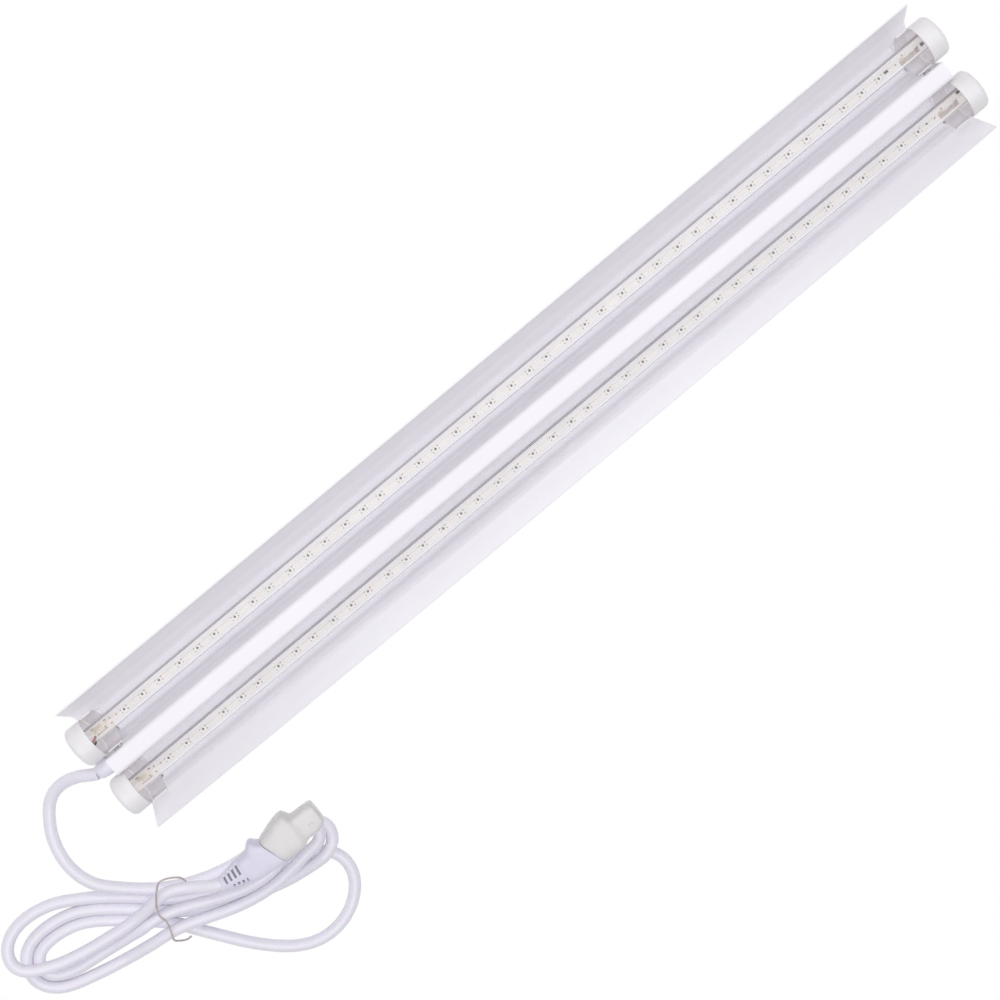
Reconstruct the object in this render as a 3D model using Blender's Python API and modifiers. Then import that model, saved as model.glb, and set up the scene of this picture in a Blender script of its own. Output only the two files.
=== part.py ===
"""Twin-tube LED strip light with a folded reflector and a hanked mains lead.

Metres. X runs along the tubes, towards the end away from the lead. Z is up, out of the LED side.
The origin is under the middle of the fixture, on the surface that its tray rests on.
"""
import bpy
import bmesh
from math import cos, pi, radians, sin
from mathutils import Matrix, Vector

# ---- driving dimensions -------------------------------------------------------------------
LENGTH = 0.600              # over the end caps
TUBE_Y = 0.01815            # tube axis to the middle of the fixture
AXIS_Z = 0.022              # tube axis above the resting surface
GAP = 0.0003                # clearance kept between touching pieces

TUBE_R = 0.011
TUBE_WALL = 0.0009
TUBE_HALF = LENGTH / 2 - 0.0025
CAP_R = 0.012
CAP_RIM_X = 0.2886          # inner rim of an end cap
CAP_WALL = 0.0015
CAP_FILLET = 0.003

SHEET = 0.0008              # reflector and tray sheet
RIDGE_TOP_Z = 0.0295
RIDGE_HALF = 0.0054         # half width of the ridge at its top corner
RIDGE_FOOT_Y = 0.0088
FLOOR_Z = 0.0095            # upper face of the troughs
FLOOR_OUT_Y = 0.0270
FOLD_Y = 0.0330             # fold at the foot of a wing
FOLD_Z = 0.01565
TIP_Y = 0.0406              # free edge of a wing
TIP_Z = 0.0265
SHEET_END_X = 0.2914
TIP_END_X = 0.2951
NOTCH_X = 0.2770            # where the notch under a tube end starts
NOTCH_IN_Y = 0.0052
NOTCH_OUT_Y = 0.0318
NOTCH_R = 0.003

TRAY_HALF_Y = 0.0285
TRAY_TOP_Z = 0.0084
TRAY_HALF_X = 0.2852
TRAY_FLOOR_Z = SHEET + GAP
KEYHOLE_X = 0.150
KEYHOLE_R = 0.004
KEYHOLE_SLOT_R = 0.002
KEYHOLE_SLOT = 0.010

LED_PITCH = 0.03876         # one group of three LEDs
LED_GROUPS = 14
LED_STEPS = (0.0, 0.3257, 0.6287)
LED_SHIFT = -0.0029         # the row sits a little towards the lead
LED_SIZE = (0.0030, 0.0028, 0.0007)
LED_TOP_Z = AXIS_Z - 0.0036
BOARD_HALF_Y = 0.00435
BOARD_THICK = 0.0010
BOARD_HALF_X = 0.2950
RAIL_HALF_Y = 0.0053
RAIL_BASE = 0.0009
RAIL_HALF_X = 0.2960

CRADLE_X = (0.2786, 0.2882)
CRADLE_FOOT_END = 0.2836

CORD_R = 0.0035
GLAND_Z = 0.0182
GLAND_Y = 0.0004
GLAND_LIP_X = 0.2950
GLAND_TIP_X = 0.3010
GLAND_ROOT_X = 0.2760
GLAND_ROOT_R = 0.0037
GLAND_TIP_R = 0.0043

HANK_TOP = 0.0139
HANK_BOTTOM = 0.0003
TIE_R = 0.0008

PLUG_POS = (-0.2600, -0.0919, 0.0237)
PLUG_TURN = -3.0            # degrees about Z
PRONG_OUT = 0.0180          # how far the earth pin stands out of the plug's face

COLLECTION = "led_light_tube"


def mm(*values):
    """Millimetres to a point in metres."""
    return tuple(v / 1000 for v in values)


# ---- scene and materials ------------------------------------------------------------------
def clear_scene():
    for obj in list(bpy.data.objects):
        bpy.data.objects.remove(obj, do_unlink=True)
    for coll in list(bpy.data.collections):
        bpy.data.collections.remove(coll)


clear_scene()
parts = bpy.data.collections.new(COLLECTION)
cutters = bpy.data.collections.new("cutters")
for coll in (parts, cutters):
    bpy.context.scene.collection.children.link(coll)


def material(name, color, roughness, metallic=0.0, alpha=1.0):
    mat = bpy.data.materials.new(name)
    mat.use_nodes = True
    shader = mat.node_tree.nodes["Principled BSDF"]
    shader.inputs["Base Color"].default_value = (*color, 1.0)
    shader.inputs["Roughness"].default_value = roughness
    shader.inputs["Metallic"].default_value = metallic
    shader.inputs["Alpha"].default_value = alpha
    mat.diffuse_color = (*color, alpha)
    return mat


WHITE_PAINT = material("white_paint", (0.86, 0.86, 0.88), 0.45)
CLEAR_TUBE = material("clear_tube", (0.93, 0.93, 0.95), 0.08, alpha=0.3)
CAP_WHITE = material("cap_white", (0.90, 0.89, 0.90), 0.35)
CRADLE_GREY = material("cradle_grey", (0.48, 0.46, 0.47), 0.5)
BOARD_CREAM = material("board_cream", (0.86, 0.83, 0.79), 0.5)
RAIL_METAL = material("rail_aluminium", (0.62, 0.60, 0.60), 0.4, metallic=0.9)
CORD_WHITE = material("cord_white", (0.83, 0.82, 0.87), 0.4)
PLUG_WHITE = material("plug_white", (0.80, 0.80, 0.88), 0.4)
COVER_CLEAR = material("cover_translucent", (0.82, 0.78, 0.76), 0.35, alpha=0.7)
TIE_BROWN = material("tie_wire", (0.33, 0.28, 0.27), 0.5)
BRASS = material("prong_brass", (0.80, 0.66, 0.40), 0.3, metallic=1.0)
STEEL = material("screw_steel", (0.60, 0.60, 0.62), 0.35, metallic=1.0)
PCB_GREEN = material("driver_board", (0.10, 0.30, 0.16), 0.5)
PART_BLACK = material("part_black", (0.03, 0.03, 0.03), 0.4)
PART_BLUE = material("part_blue", (0.08, 0.12, 0.35), 0.35)
FEED_RED = material("feed_red", (0.60, 0.05, 0.04), 0.4)


# ---- modelling helpers --------------------------------------------------------------------
def link(obj, mat=None, to=parts):
    to.objects.link(obj)
    if mat:
        obj.data.materials.append(mat)
    return obj


def finish_round(obj, angle=35.0):
    obj.data.shade_smooth()
    obj.data.set_sharp_from_angle(angle=radians(angle))
    return obj


def mesh_object(name, bm, mat=None, to=parts):
    mesh = bpy.data.meshes.new(name)
    bm.to_mesh(mesh)
    bm.free()
    return link(bpy.data.objects.new(name, mesh), mat, to)


def box(name, size, centre, mat=None, to=parts, bevel=0.0, segments=2):
    bm = bmesh.new()
    bmesh.ops.create_cube(bm, size=1.0)
    bmesh.ops.scale(bm, vec=size, verts=bm.verts)
    obj = mesh_object(name, bm, mat, to)
    obj.location = centre
    if bevel:
        round_edges(obj, bevel, segments)
    return obj


def cylinder(name, radius, depth, centre, axis="Z", mat=None, to=parts, sides=32, radius2=None):
    bm = bmesh.new()
    tip = radius if radius2 is None else radius2
    bmesh.ops.create_cone(bm, cap_ends=True, segments=sides, radius1=radius, radius2=tip, depth=depth)
    if axis == "X":
        bmesh.ops.rotate(bm, matrix=Matrix.Rotation(pi / 2, 3, "Y"), verts=bm.verts)
    obj = mesh_object(name, bm, mat, to)
    obj.location = centre
    return finish_round(obj)


def round_edges(obj, width, segments=2):
    mod = obj.modifiers.new("edges", "BEVEL")
    mod.width = width
    mod.segments = segments
    mod.limit_method = "ANGLE"
    mod.angle_limit = radians(40)
    return mod


def corner_arc(before, corner, after, radius, steps):
    """Points of the arc that rounds a corner of a flat outline."""
    a = (Vector(before) - Vector(corner)).normalized()
    b = (Vector(after) - Vector(corner)).normalized()
    half = a.angle(b) / 2
    reach = radius / sin(half) * cos(half)
    middle = Vector(corner) + (a + b).normalized() * (radius / sin(half))
    start = Vector(corner) + a * reach - middle
    end = Vector(corner) + b * reach - middle
    turn = pi - 2 * half
    out = []
    for i in range(steps + 1):
        t = turn * i / steps
        out.append(tuple(middle + (start * sin(turn - t) + end * sin(t)) / sin(turn)))
    return out


def rounded(points, radii, closed=False, steps=4):
    """An outline with each corner rounded by its own radius; 0 leaves it sharp."""
    out = []
    count = len(points)
    for i, (point, radius) in enumerate(zip(points, radii)):
        open_end = not closed and i in (0, count - 1)
        if radius == 0 or open_end:
            out.append(tuple(point))
            continue
        out += corner_arc(points[i - 1], point, points[(i + 1) % count], radius, steps)
    return out


def flat_curve(name, outline, thickness, mat=None, to=parts):
    """A filled flat outline, extruded to a plate about its own plane."""
    data = bpy.data.curves.new(name, "CURVE")
    data.dimensions = "2D"
    data.fill_mode = "BOTH"
    data.extrude = thickness / 2
    spline = data.splines.new("POLY")
    spline.points.add(len(outline) - 1)
    for point, (x, y) in zip(spline.points, outline):
        point.co = (x, y, 0, 1)
    spline.use_cyclic_u = True
    return link(bpy.data.objects.new(name, data), mat, to)


def to_mesh(obj):
    """Turns a curve into a mesh with welded caps, in the same place."""
    bpy.context.view_layer.update()
    evaluated = obj.evaluated_get(bpy.context.evaluated_depsgraph_get())
    mesh = bpy.data.meshes.new_from_object(evaluated)
    bm = bmesh.new()
    bm.from_mesh(mesh)
    bmesh.ops.remove_doubles(bm, verts=bm.verts, dist=1e-6)
    bm.to_mesh(mesh)
    bm.free()
    name, place, colls = obj.name, obj.matrix_world.copy(), list(obj.users_collection)
    bpy.data.objects.remove(obj, do_unlink=True)
    new = bpy.data.objects.new(name, mesh)
    new.matrix_world = place
    for coll in colls:
        coll.objects.link(new)
    return new


def plate(name, outline, thickness, matrix, mat=None, to=parts):
    """An outline in its own plane, extruded, placed by a matrix and made a mesh."""
    obj = flat_curve(name, outline, thickness, mat, to)
    obj.matrix_world = matrix
    return to_mesh(obj)


# outline x -> world Y, outline y -> world Z, thickness along X
ACROSS = Matrix(((0, 0, 1, 0), (1, 0, 0, 0), (0, 1, 0, 0), (0, 0, 0, 1)))


def boolean(obj, other, operation="DIFFERENCE"):
    mod = obj.modifiers.new(operation.lower(), "BOOLEAN")
    mod.operation = operation
    mod.object = other
    mod.solver = "EXACT"
    return mod


def cutter(obj):
    obj.hide_render = True
    obj.display_type = "WIRE"
    return obj


def turned(name, profile, centre, mat=None, sides=48, direction=1):
    """A profile of (radius, along X) turned about an axis parallel to X."""
    bm = bmesh.new()
    verts = [bm.verts.new((radius, 0, -along)) for radius, along in profile]
    for a, b in zip(verts, verts[1:]):
        bm.edges.new((a, b))
    obj = mesh_object(name, bm, mat)
    mod = obj.modifiers.new("turn", "SCREW")
    mod.steps = mod.render_steps = sides
    mod.angle = 2 * pi
    mod.axis = "Z"
    mod.use_merge_vertices = True
    mod.merge_threshold = 0.00001
    mod.use_smooth_shade = True
    obj.rotation_euler = (0, -pi / 2 * direction, 0)
    obj.location = centre
    return obj


def smooth_route(points, step):
    """Evenly spaced points on a smooth curve through the given ones."""
    pts = [Vector(p) for p in points]
    pts = [2 * pts[0] - pts[1]] + pts + [2 * pts[-1] - pts[-2]]
    fine = []
    for a, b, c, d in zip(pts, pts[1:], pts[2:], pts[3:]):
        for i in range(24):
            t = i / 24
            fine.append(
                0.5 * (2 * b + (c - a) * t + (2 * a - 5 * b + 4 * c - d) * t ** 2
                       + (3 * b - a - 3 * c + d) * t ** 3)
            )
    fine.append(pts[-2])
    out, gone = [fine[0]], 0.0
    for a, b in zip(fine, fine[1:]):
        gone += (b - a).length
        if gone >= step:
            out.append(b)
            gone = 0.0
    if (out[-1] - fine[-1]).length < step / 2:
        out.pop()
    return out + [fine[-1]]


def wire(name, points, radius, mat, resolution=2):
    """A round wire or tube along a list of points, with closed ends."""
    data = bpy.data.curves.new(name, "CURVE")
    data.dimensions = "3D"
    data.bevel_depth = radius
    data.bevel_resolution = resolution
    data.use_fill_caps = True
    spline = data.splines.new("POLY")
    spline.points.add(len(points) - 1)
    for point, co in zip(spline.points, points):
        point.co = (*co, 1)
    return link(bpy.data.objects.new(name, data), mat)


# ---- reflector and tray -------------------------------------------------------------------
def swept_sheet(name, outline, half_x, mat):
    """A folded sheet: an open outline across the fixture, drawn along X and given thickness."""
    bm = bmesh.new()
    rows = [[bm.verts.new((x, y, z)) for y, z in outline] for x in (-half_x, half_x)]
    for a, b, c, d in zip(rows[0], rows[0][1:], rows[1][1:], rows[1]):
        bm.faces.new((a, d, c, b))
    obj = mesh_object(name, bm, mat)
    mod = obj.modifiers.new("sheet", "SOLIDIFY")
    mod.thickness = SHEET
    mod.offset = -1.0
    mod.use_even_offset = True
    return obj


def reflector():
    half = [
        (RIDGE_HALF, RIDGE_TOP_Z),
        (RIDGE_FOOT_Y, FLOOR_Z),
        (FLOOR_OUT_Y, FLOOR_Z),
        (FOLD_Y, FOLD_Z),
        (TIP_Y, TIP_Z),
    ]
    radii = [0.0024, 0.0018, 0.0030, 0.0010, 0]
    outline = [(-y, z) for y, z in reversed(half)] + half
    sheet = rounded(outline, list(reversed(radii)) + radii)
    obj = swept_sheet("reflector", sheet, TIP_END_X, WHITE_PAINT)
    for side, label in ((-1, "near"), (1, "far")):
        boolean(obj, end_cut(label, side))
        for row in (-1, 1):
            boolean(obj, notch(f"{label}_{row + 2}", side, row))
    return finish_round(obj, 50)


def end_cut(label, side):
    """Trims the sheet square at its end and leaves the wings' tips longer."""
    out = TIP_END_X + 0.01
    slope = (TIP_END_X - SHEET_END_X) / (TIP_Y - FOLD_Y)
    far_y = TIP_Y + 0.005
    far_x = SHEET_END_X + slope * (far_y - FOLD_Y)
    points = [(out, -far_y), (out, far_y), (far_x, far_y), (SHEET_END_X, FOLD_Y),
              (SHEET_END_X, -FOLD_Y), (far_x, -far_y)]
    outline = [(side * x, y) for x, y in points]
    obj = plate(f"cut_end_{label}", outline, 0.06, Matrix.Translation((0, 0, 0.02)), to=cutters)
    return cutter(obj)


def notch(label, side, row):
    """The rounded notch under one tube end."""
    out = TIP_END_X + 0.01
    corners = [(NOTCH_X, NOTCH_IN_Y), (NOTCH_X, NOTCH_OUT_Y), (out, NOTCH_OUT_Y), (out, NOTCH_IN_Y)]
    outline = rounded([(side * x, row * y) for x, y in corners], [NOTCH_R, NOTCH_R, 0, 0], closed=True)
    obj = plate(f"cut_notch_{label}", outline, 0.06, Matrix.Translation((0, 0, 0.02)), to=cutters)
    return cutter(obj)


def base_tray():
    outline = rounded(
        [(-TRAY_HALF_Y, TRAY_TOP_Z), (-TRAY_HALF_Y, 0), (TRAY_HALF_Y, 0), (TRAY_HALF_Y, TRAY_TOP_Z)],
        [0, 0.0012, 0.0012, 0],
    )
    obj = swept_sheet("base_tray", list(reversed(outline)), TRAY_HALF_X, WHITE_PAINT)
    for side in (-1, 1):
        boolean(obj, keyhole(side))
    return obj


def keyhole(side):
    """A keyhole slot in the tray's floor, its narrow end away from the middle."""
    steps = 8
    x0 = side * KEYHOLE_X
    reach = (KEYHOLE_R ** 2 - KEYHOLE_SLOT_R ** 2) ** 0.5
    bare = radians(30)
    wide = [bare + i * (2 * pi - 2 * bare) / (2 * steps) for i in range(2 * steps + 1)]
    narrow = [-pi / 2 + i * pi / steps for i in range(steps + 1)]
    outline = [(x0 + side * KEYHOLE_R * cos(a), KEYHOLE_R * sin(a)) for a in wide]
    slot_x = reach + KEYHOLE_SLOT
    outline += [
        (x0 + side * (slot_x + KEYHOLE_SLOT_R * cos(a)), KEYHOLE_SLOT_R * sin(a)) for a in narrow
    ]
    obj = plate(f"cut_keyhole_{side + 2}", outline, 0.01, Matrix.Identity(4), to=cutters)
    return cutter(obj)


def tray_end(name, side):
    """The plate that closes one end of the tray, between its sides."""
    y = TRAY_HALF_Y - SHEET - GAP
    top = TRAY_TOP_Z - GAP
    outline = [(-y, TRAY_FLOOR_Z), (y, TRAY_FLOOR_Z), (y, top), (-y, top)]
    place = Matrix.Translation((side * (TRAY_HALF_X - 0.0009), 0, 0)) @ ACROSS
    return plate(name, outline, 0.0010, place, WHITE_PAINT)


# ---- tubes and what is in them ------------------------------------------------------------
def tube(name, y):
    outer, inner = TUBE_R, TUBE_R - TUBE_WALL
    profile = [(outer, -TUBE_HALF), (outer, TUBE_HALF), (inner, TUBE_HALF), (inner, -TUBE_HALF),
               (outer, -TUBE_HALF)]
    return turned(name, profile, (0, y, AXIS_Z), CLEAR_TUBE, sides=48)


def end_cap(name, side, y):
    """A cup that holds the tube's end, its closed face outwards."""
    face = LENGTH / 2
    bore = TUBE_R + GAP
    arc = [
        (CAP_R - CAP_FILLET + CAP_FILLET * cos(a), face - CAP_FILLET + CAP_FILLET * sin(a))
        for a in (i * pi / 12 for i in range(7))
    ]
    profile = [(0.0, TUBE_HALF + GAP), (bore, TUBE_HALF + GAP), (bore, CAP_RIM_X),
               (CAP_R - 0.0002, CAP_RIM_X), (CAP_R, CAP_RIM_X + 0.0004)] + arc + [(0.0, face)]
    return turned(name, profile, (0, y, AXIS_Z), CAP_WHITE, sides=48, direction=side)


def led_rail(name, y):
    """The channel inside a tube that carries its board."""
    top = LED_TOP_Z + 0.0003
    under = LED_TOP_Z - BOARD_THICK - GAP
    lip = BOARD_HALF_Y + GAP
    half = RAIL_HALF_Y
    outline = [(-half, top), (-half, under - RAIL_BASE), (half, under - RAIL_BASE), (half, top),
               (lip, top), (lip, under), (-lip, under), (-lip, top)]
    return plate(name, outline, 2 * RAIL_HALF_X, Matrix.Translation((0, y, 0)) @ ACROSS, RAIL_METAL)


def led_centres():
    """Where the LEDs sit along a board: groups of three, unevenly spaced as on the real board."""
    first = -(LED_GROUPS - 1 + LED_STEPS[-1]) / 2
    return [
        (first + group + step) * LED_PITCH + LED_SHIFT
        for group in range(LED_GROUPS) for step in LED_STEPS
    ]


def led_board(name, y):
    obj = box(name, (2 * BOARD_HALF_X, 2 * BOARD_HALF_Y, BOARD_THICK),
              (0, y, LED_TOP_Z - BOARD_THICK / 2), BOARD_CREAM)
    bm = bmesh.new()
    for x in led_centres():
        made = bmesh.ops.create_cube(bm, size=1.0)["verts"]
        bmesh.ops.scale(bm, vec=(LED_SIZE[0], LED_SIZE[1], 2 * LED_SIZE[2]), verts=made)
        bmesh.ops.translate(bm, vec=(x, y, LED_TOP_Z), verts=made)
    leds = cutter(mesh_object(f"leds_of_{name}", bm, to=cutters))
    boolean(obj, leds, "UNION")
    return obj


def tube_cradle(name, side, y):
    """The saddle that holds a tube's end: a trough under the tube, on a foot that stands on the tray."""
    half, arm_top = 0.0122, AXIS_Z - 0.0005
    bed = TUBE_R + GAP
    arc = [(bed * cos(a), AXIS_Z + bed * sin(a)) for a in (-i * pi / 16 for i in range(17))]
    arc[0] = (bed, arm_top)
    arc[-1] = (-bed, arm_top)
    outer = [(-half * cos(a), AXIS_Z - half * sin(a)) for a in (i * pi / 16 for i in range(1, 16))]
    trough = [(-half, arm_top)] + outer + [(half, arm_top)] + arc
    foot, floor = 0.0085, TRAY_FLOOR_Z
    block = [(-half, arm_top), (-half, 0.0125), (-foot, 0.0090), (-foot, floor), (foot, floor),
             (foot, 0.0090), (half, 0.0125), (half, arm_top)] + arc
    block_x, trough_x = (CRADLE_X[0] + CRADLE_FOOT_END) / 2, sum(CRADLE_X) / 2
    block_long, trough_long = CRADLE_FOOT_END - CRADLE_X[0], CRADLE_X[1] - CRADLE_X[0]
    obj = plate(name, block, block_long, Matrix.Translation((side * block_x, y, 0)) @ ACROSS, CRADLE_GREY)
    longer = plate(f"trough_of_{name}", trough, trough_long,
                   Matrix.Translation((side * trough_x, y, 0)) @ ACROSS, to=cutters)
    boolean(obj, cutter(longer), "UNION")
    return obj


# ---- ridge ends, gland and driver ---------------------------------------------------------
def ridge_plug(name, side):
    """Closes the ridge between the two end caps; the near one has the gland's hole."""
    half, top = 0.0048, RIDGE_TOP_Z - SHEET - GAP
    outline = rounded([(-half, 0.0030), (half, 0.0030), (half, top), (-half, top)],
                      [0.0008, 0.0008, 0.0024, 0.0024], closed=True)
    place = Matrix.Translation((side * 0.28865, 0, 0)) @ ACROSS
    obj = plate(name, outline, 0.0063, place, CAP_WHITE)
    if side < 0:
        hole = cylinder("cut_gland", GLAND_ROOT_R + GAP, 0.03, (-0.288, GLAND_Y, GLAND_Z), "X",
                        to=cutters, sides=32)
        boolean(obj, cutter(hole))
    return obj


def cable_gland():
    """Strain relief of the lead: a tapered sleeve that runs back into the ridge."""
    collar = 0.0052
    profile = [
        (0.0, GLAND_ROOT_X), (GLAND_ROOT_R, GLAND_ROOT_X), (GLAND_ROOT_R, 0.2921),
        (collar - 0.0004, 0.2921), (collar, 0.2925), (collar - 0.0002, GLAND_LIP_X),
        (GLAND_TIP_R, GLAND_TIP_X - 0.0005), (GLAND_TIP_R - 0.0005, GLAND_TIP_X), (0.0, GLAND_TIP_X),
    ]
    return turned("cable_gland", profile, (0, GLAND_Y, GLAND_Z), CORD_WHITE, sides=32, direction=-1)


def driver():
    """The driver in the ridge: a board on two screws, with its larger components."""
    top = 0.0046
    box("driver_board", (0.150, 0.0140, 0.0014), (-0.180, 0, top - 0.0007), PCB_GREEN)
    box("transformer", (0.0160, 0.0100, 0.0130), (-0.178, 0, top + GAP + 0.0065), PART_BLACK,
        bevel=0.0008)
    box("film_capacitor", (0.0120, 0.0060, 0.0090), (-0.228, -0.0020, top + GAP + 0.0045), PART_BLUE,
        bevel=0.0006)
    box("rectifier", (0.0070, 0.0080, 0.0030), (-0.209, 0, top + GAP + 0.0015), PART_BLACK,
        bevel=0.0004)
    box("terminal_block", (0.0100, 0.0100, 0.0085), (-0.2440, 0, top + GAP + 0.00425), CORD_WHITE,
        bevel=0.0004)
    cylinder("input_capacitor", 0.0040, 0.0140, (-0.196, 0, top + GAP + 0.0070), "Z", PART_BLACK)
    cylinder("output_capacitor", 0.0040, 0.0120, (-0.158, 0, top + GAP + 0.0060), "Z", PART_BLUE)
    cylinder("inductor", 0.0045, 0.0080, (-0.142, 0, top + GAP + 0.0040), "Z", PART_BLACK)
    cylinder("fuse", 0.0020, 0.0100, (-0.2195, 0.0048, top + GAP + 0.0020), "X", COVER_CLEAR,
             sides=16)
    for x, label in ((-0.2535, 1), (-0.1075, 2)):
        screw = turned(
            f"board_screw_{label}",
            [(0.0, -0.0016), (0.0018, -0.0016), (0.0026, -0.0009), (0.0026, 0.0), (0.0, 0.0)],
            (x, 0, top + GAP), STEEL, sides=20)
        screw.rotation_euler = (0, 0, 0)
        standoff = cylinder(f"standoff_{label}", 0.0028, top - 0.0014 - GAP - TRAY_FLOOR_Z,
                            (x, 0, (top - 0.0014 - GAP + TRAY_FLOOR_Z) / 2), "Z", BRASS, sides=6)
        standoff.data.shade_flat()


def feed(name, row, mat):
    """The flex from the driver to one tube, laid along the tray to the near cradle."""
    z = TRAY_FLOOR_Z + 0.0009 + GAP
    route = [(-0.118, row * 0.0095, z), (-0.150, row * 0.0115, z), (-0.220, row * 0.0118, z),
             (-0.262, row * 0.0120, z), (-0.2752, row * 0.0150, z)]
    return wire(name, smooth_route(route, 0.006), 0.0009, mat)


# ---- lead, hank and plug ------------------------------------------------------------------
LEAD_ROUTE = [
    mm(-302.9, 1.9, 17.7), mm(-306.0, 3.2, 16.5), mm(-311.0, 5.3, 14.0), mm(-318.5, 6.9, 9.6),
    mm(-327.0, 6.4, 5.8), mm(-334.5, 3.0, 4.0), mm(-341.0, -4.5, 3.6), mm(-347.0, -14.0, 3.6),
    mm(-350.6, -26.0, 4.6), mm(-350.4, -34.8, 7.0),
]
PLUG_LEAD_ROUTE = [
    mm(-320.0, -72.8, 17.7), mm(-313.0, -76.4, 18.1), mm(-304.8, -82.0, 19.4),
    mm(-299.4, -86.4, 21.4), mm(-293.6, -89.2, 23.0),
]
HANK_OUTLINE = [
    (-346.6, -37.0), (-338.5, -49.0), (-329.5, -60.0), (-319.5, -67.6), (-309.0, -74.6),
    (-294.0, -81.8), (-279.0, -83.4), (-262.0, -80.0), (-243.0, -78.6), (-229.0, -83.6),
    (-222.6, -97.0), (-222.4, -110.0), (-228.6, -121.4), (-232.2, -129.6), (-234.6, -142.6),
    (-245.4, -153.8), (-262.0, -158.6), (-281.0, -155.6), (-298.2, -144.6), (-310.6, -130.6),
    (-319.8, -117.6), (-327.0, -105.6), (-334.0, -100.4), (-347.0, -99.0), (-371.0, -95.6),
    (-385.6, -92.0), (-398.4, -86.8), (-409.0, -79.4), (-413.0, -68.0), (-413.8, -53.0),
    (-407.4, -42.4), (-396.0, -38.6), (-383.0, -38.6), (-368.4, -42.4), (-356.0, -49.4),
    (-353.7, -44.0), (-353.8, -37.0),
]
TIE_ROUTE = [
    mm(-312.6, -67.6, 16.0), mm(-316.8, -66.4, 20.5), mm(-320.2, -67.4, 22.6),
    mm(-323.0, -71.6, 22.8), mm(-325.8, -77.0, 20.0), mm(-328.2, -81.4, 16.6),
    mm(-330.4, -86.0, 15.6), mm(-332.6, -91.0, 15.6), mm(-334.6, -96.6, 15.7),
    mm(-336.4, -101.0, 15.6), mm(-337.8, -103.6, 12.6), mm(-338.2, -104.2, 8.0),
    mm(-338.2, -104.2, 3.0),
]


def cord():
    wire("cord_lead", smooth_route(LEAD_ROUTE, 2.2 * CORD_R * 2), CORD_R, CORD_WHITE, resolution=3)
    wire("cord_plug_lead", smooth_route(PLUG_LEAD_ROUTE, 0.006), CORD_R, CORD_WHITE, resolution=3)
    hank = flat_curve("cord_hank", [mm(*p) for p in HANK_OUTLINE], HANK_TOP - HANK_BOTTOM, CORD_WHITE)
    hank.location = (0, 0, (HANK_TOP + HANK_BOTTOM) / 2)
    wire("twist_tie", smooth_route(TIE_ROUTE, 0.004), TIE_R, TIE_BROWN)


def plug():
    """The moulded plug, built along +X about the origin of an empty that places it."""
    base = bpy.data.objects.new("plug_frame", None)
    parts.objects.link(base)
    base.matrix_world = plug_place()
    pieces = [plug_relief(), plug_body(), plug_face(), prong_cover()]
    pieces += [blade("prong_live", 1), blade("prong_neutral", -1), earth_pin()]
    for piece in pieces:
        piece.parent = base


RELIEF_X = (-0.0310, -0.0187)
BODY_X = (RELIEF_X[1] + GAP, 0.0027)
FACE_X = (BODY_X[1] + GAP, 0.0080)
COVER_X = (BODY_X[1] + GAP, 0.0347)
COVER_STEP_X = 0.0090       # the cover's bore narrows here
BLADE_Y = 0.00635
PRONG_DROP = 0.0022         # blades above, earth pin below the plug's mid height
SOCKET = 0.0035             # how deep the prongs sit in the plug's face


def plug_place():
    return Matrix.Translation(PLUG_POS) @ Matrix.Rotation(radians(PLUG_TURN), 4, "Z")


def loft_box(name, sections, mat, bevel=0.0012, segments=2):
    """A solid of rectangular sections (x, half width, half height) joined end to end."""
    bm = bmesh.new()
    rings = []
    for x, half_y, half_z in sections:
        corners = ((-1, -1), (1, -1), (1, 1), (-1, 1))
        rings.append([bm.verts.new((x, s * half_y, t * half_z)) for s, t in corners])
    for a, b in zip(rings, rings[1:]):
        for i in range(4):
            j = (i + 1) % 4
            bm.faces.new((a[j], a[i], b[i], b[j]))
    bm.faces.new(rings[0])
    bm.faces.new(list(reversed(rings[-1])))
    bmesh.ops.recalc_face_normals(bm, faces=bm.faces)
    obj = mesh_object(name, bm, mat)
    round_edges(obj, bevel, segments)
    return obj


def plug_relief():
    x0, x1 = RELIEF_X
    sections = [(x0, 0.0043, 0.0043), (x0 + 0.004, 0.0047, 0.0047), (x1, 0.0074, 0.0060)]
    return loft_box("plug_strain_relief", sections, PLUG_WHITE, 0.0016)


def plug_body():
    x0, x1 = BODY_X
    sections = [(x0, 0.0076, 0.0062), (x0 + 0.009, 0.0090, 0.0074), (x0 + 0.011, 0.0106, 0.0076),
                (x0 + 0.0155, 0.0106, 0.0076), (x0 + 0.0175, 0.0094, 0.0078), (x1, 0.0098, 0.0080)]
    return loft_box("plug_body", sections, PLUG_WHITE)


def plug_face():
    """The plug's front block, which the cover is pushed over; the prongs stand in it."""
    x0, x1 = FACE_X
    obj = loft_box("plug_face", [(x0, 0.0096, 0.0071), (x1, 0.0096, 0.0071)], PLUG_WHITE, 0.0010)
    boolean(obj, prong_sockets())
    return obj


def prong_sockets():
    """Blind holes in the face for the prongs' roots."""
    bm = bmesh.new()
    depth = SOCKET + GAP
    for y, z, half_y, half_z in ((BLADE_Y, PRONG_DROP, 0.0011, 0.0035),
                                 (-BLADE_Y, PRONG_DROP, 0.0011, 0.0035),
                                 (0, -PRONG_DROP, 0.0028, 0.0028)):
        made = bmesh.ops.create_cube(bm, size=1.0)["verts"]
        bmesh.ops.scale(bm, vec=(2 * depth, 2 * half_y, 2 * half_z), verts=made)
        bmesh.ops.translate(bm, vec=(FACE_X[1], y, z), verts=made)
    obj = cutter(mesh_object("cut_prong_sockets", bm, to=cutters))
    obj.matrix_world = plug_place()
    return obj


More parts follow.
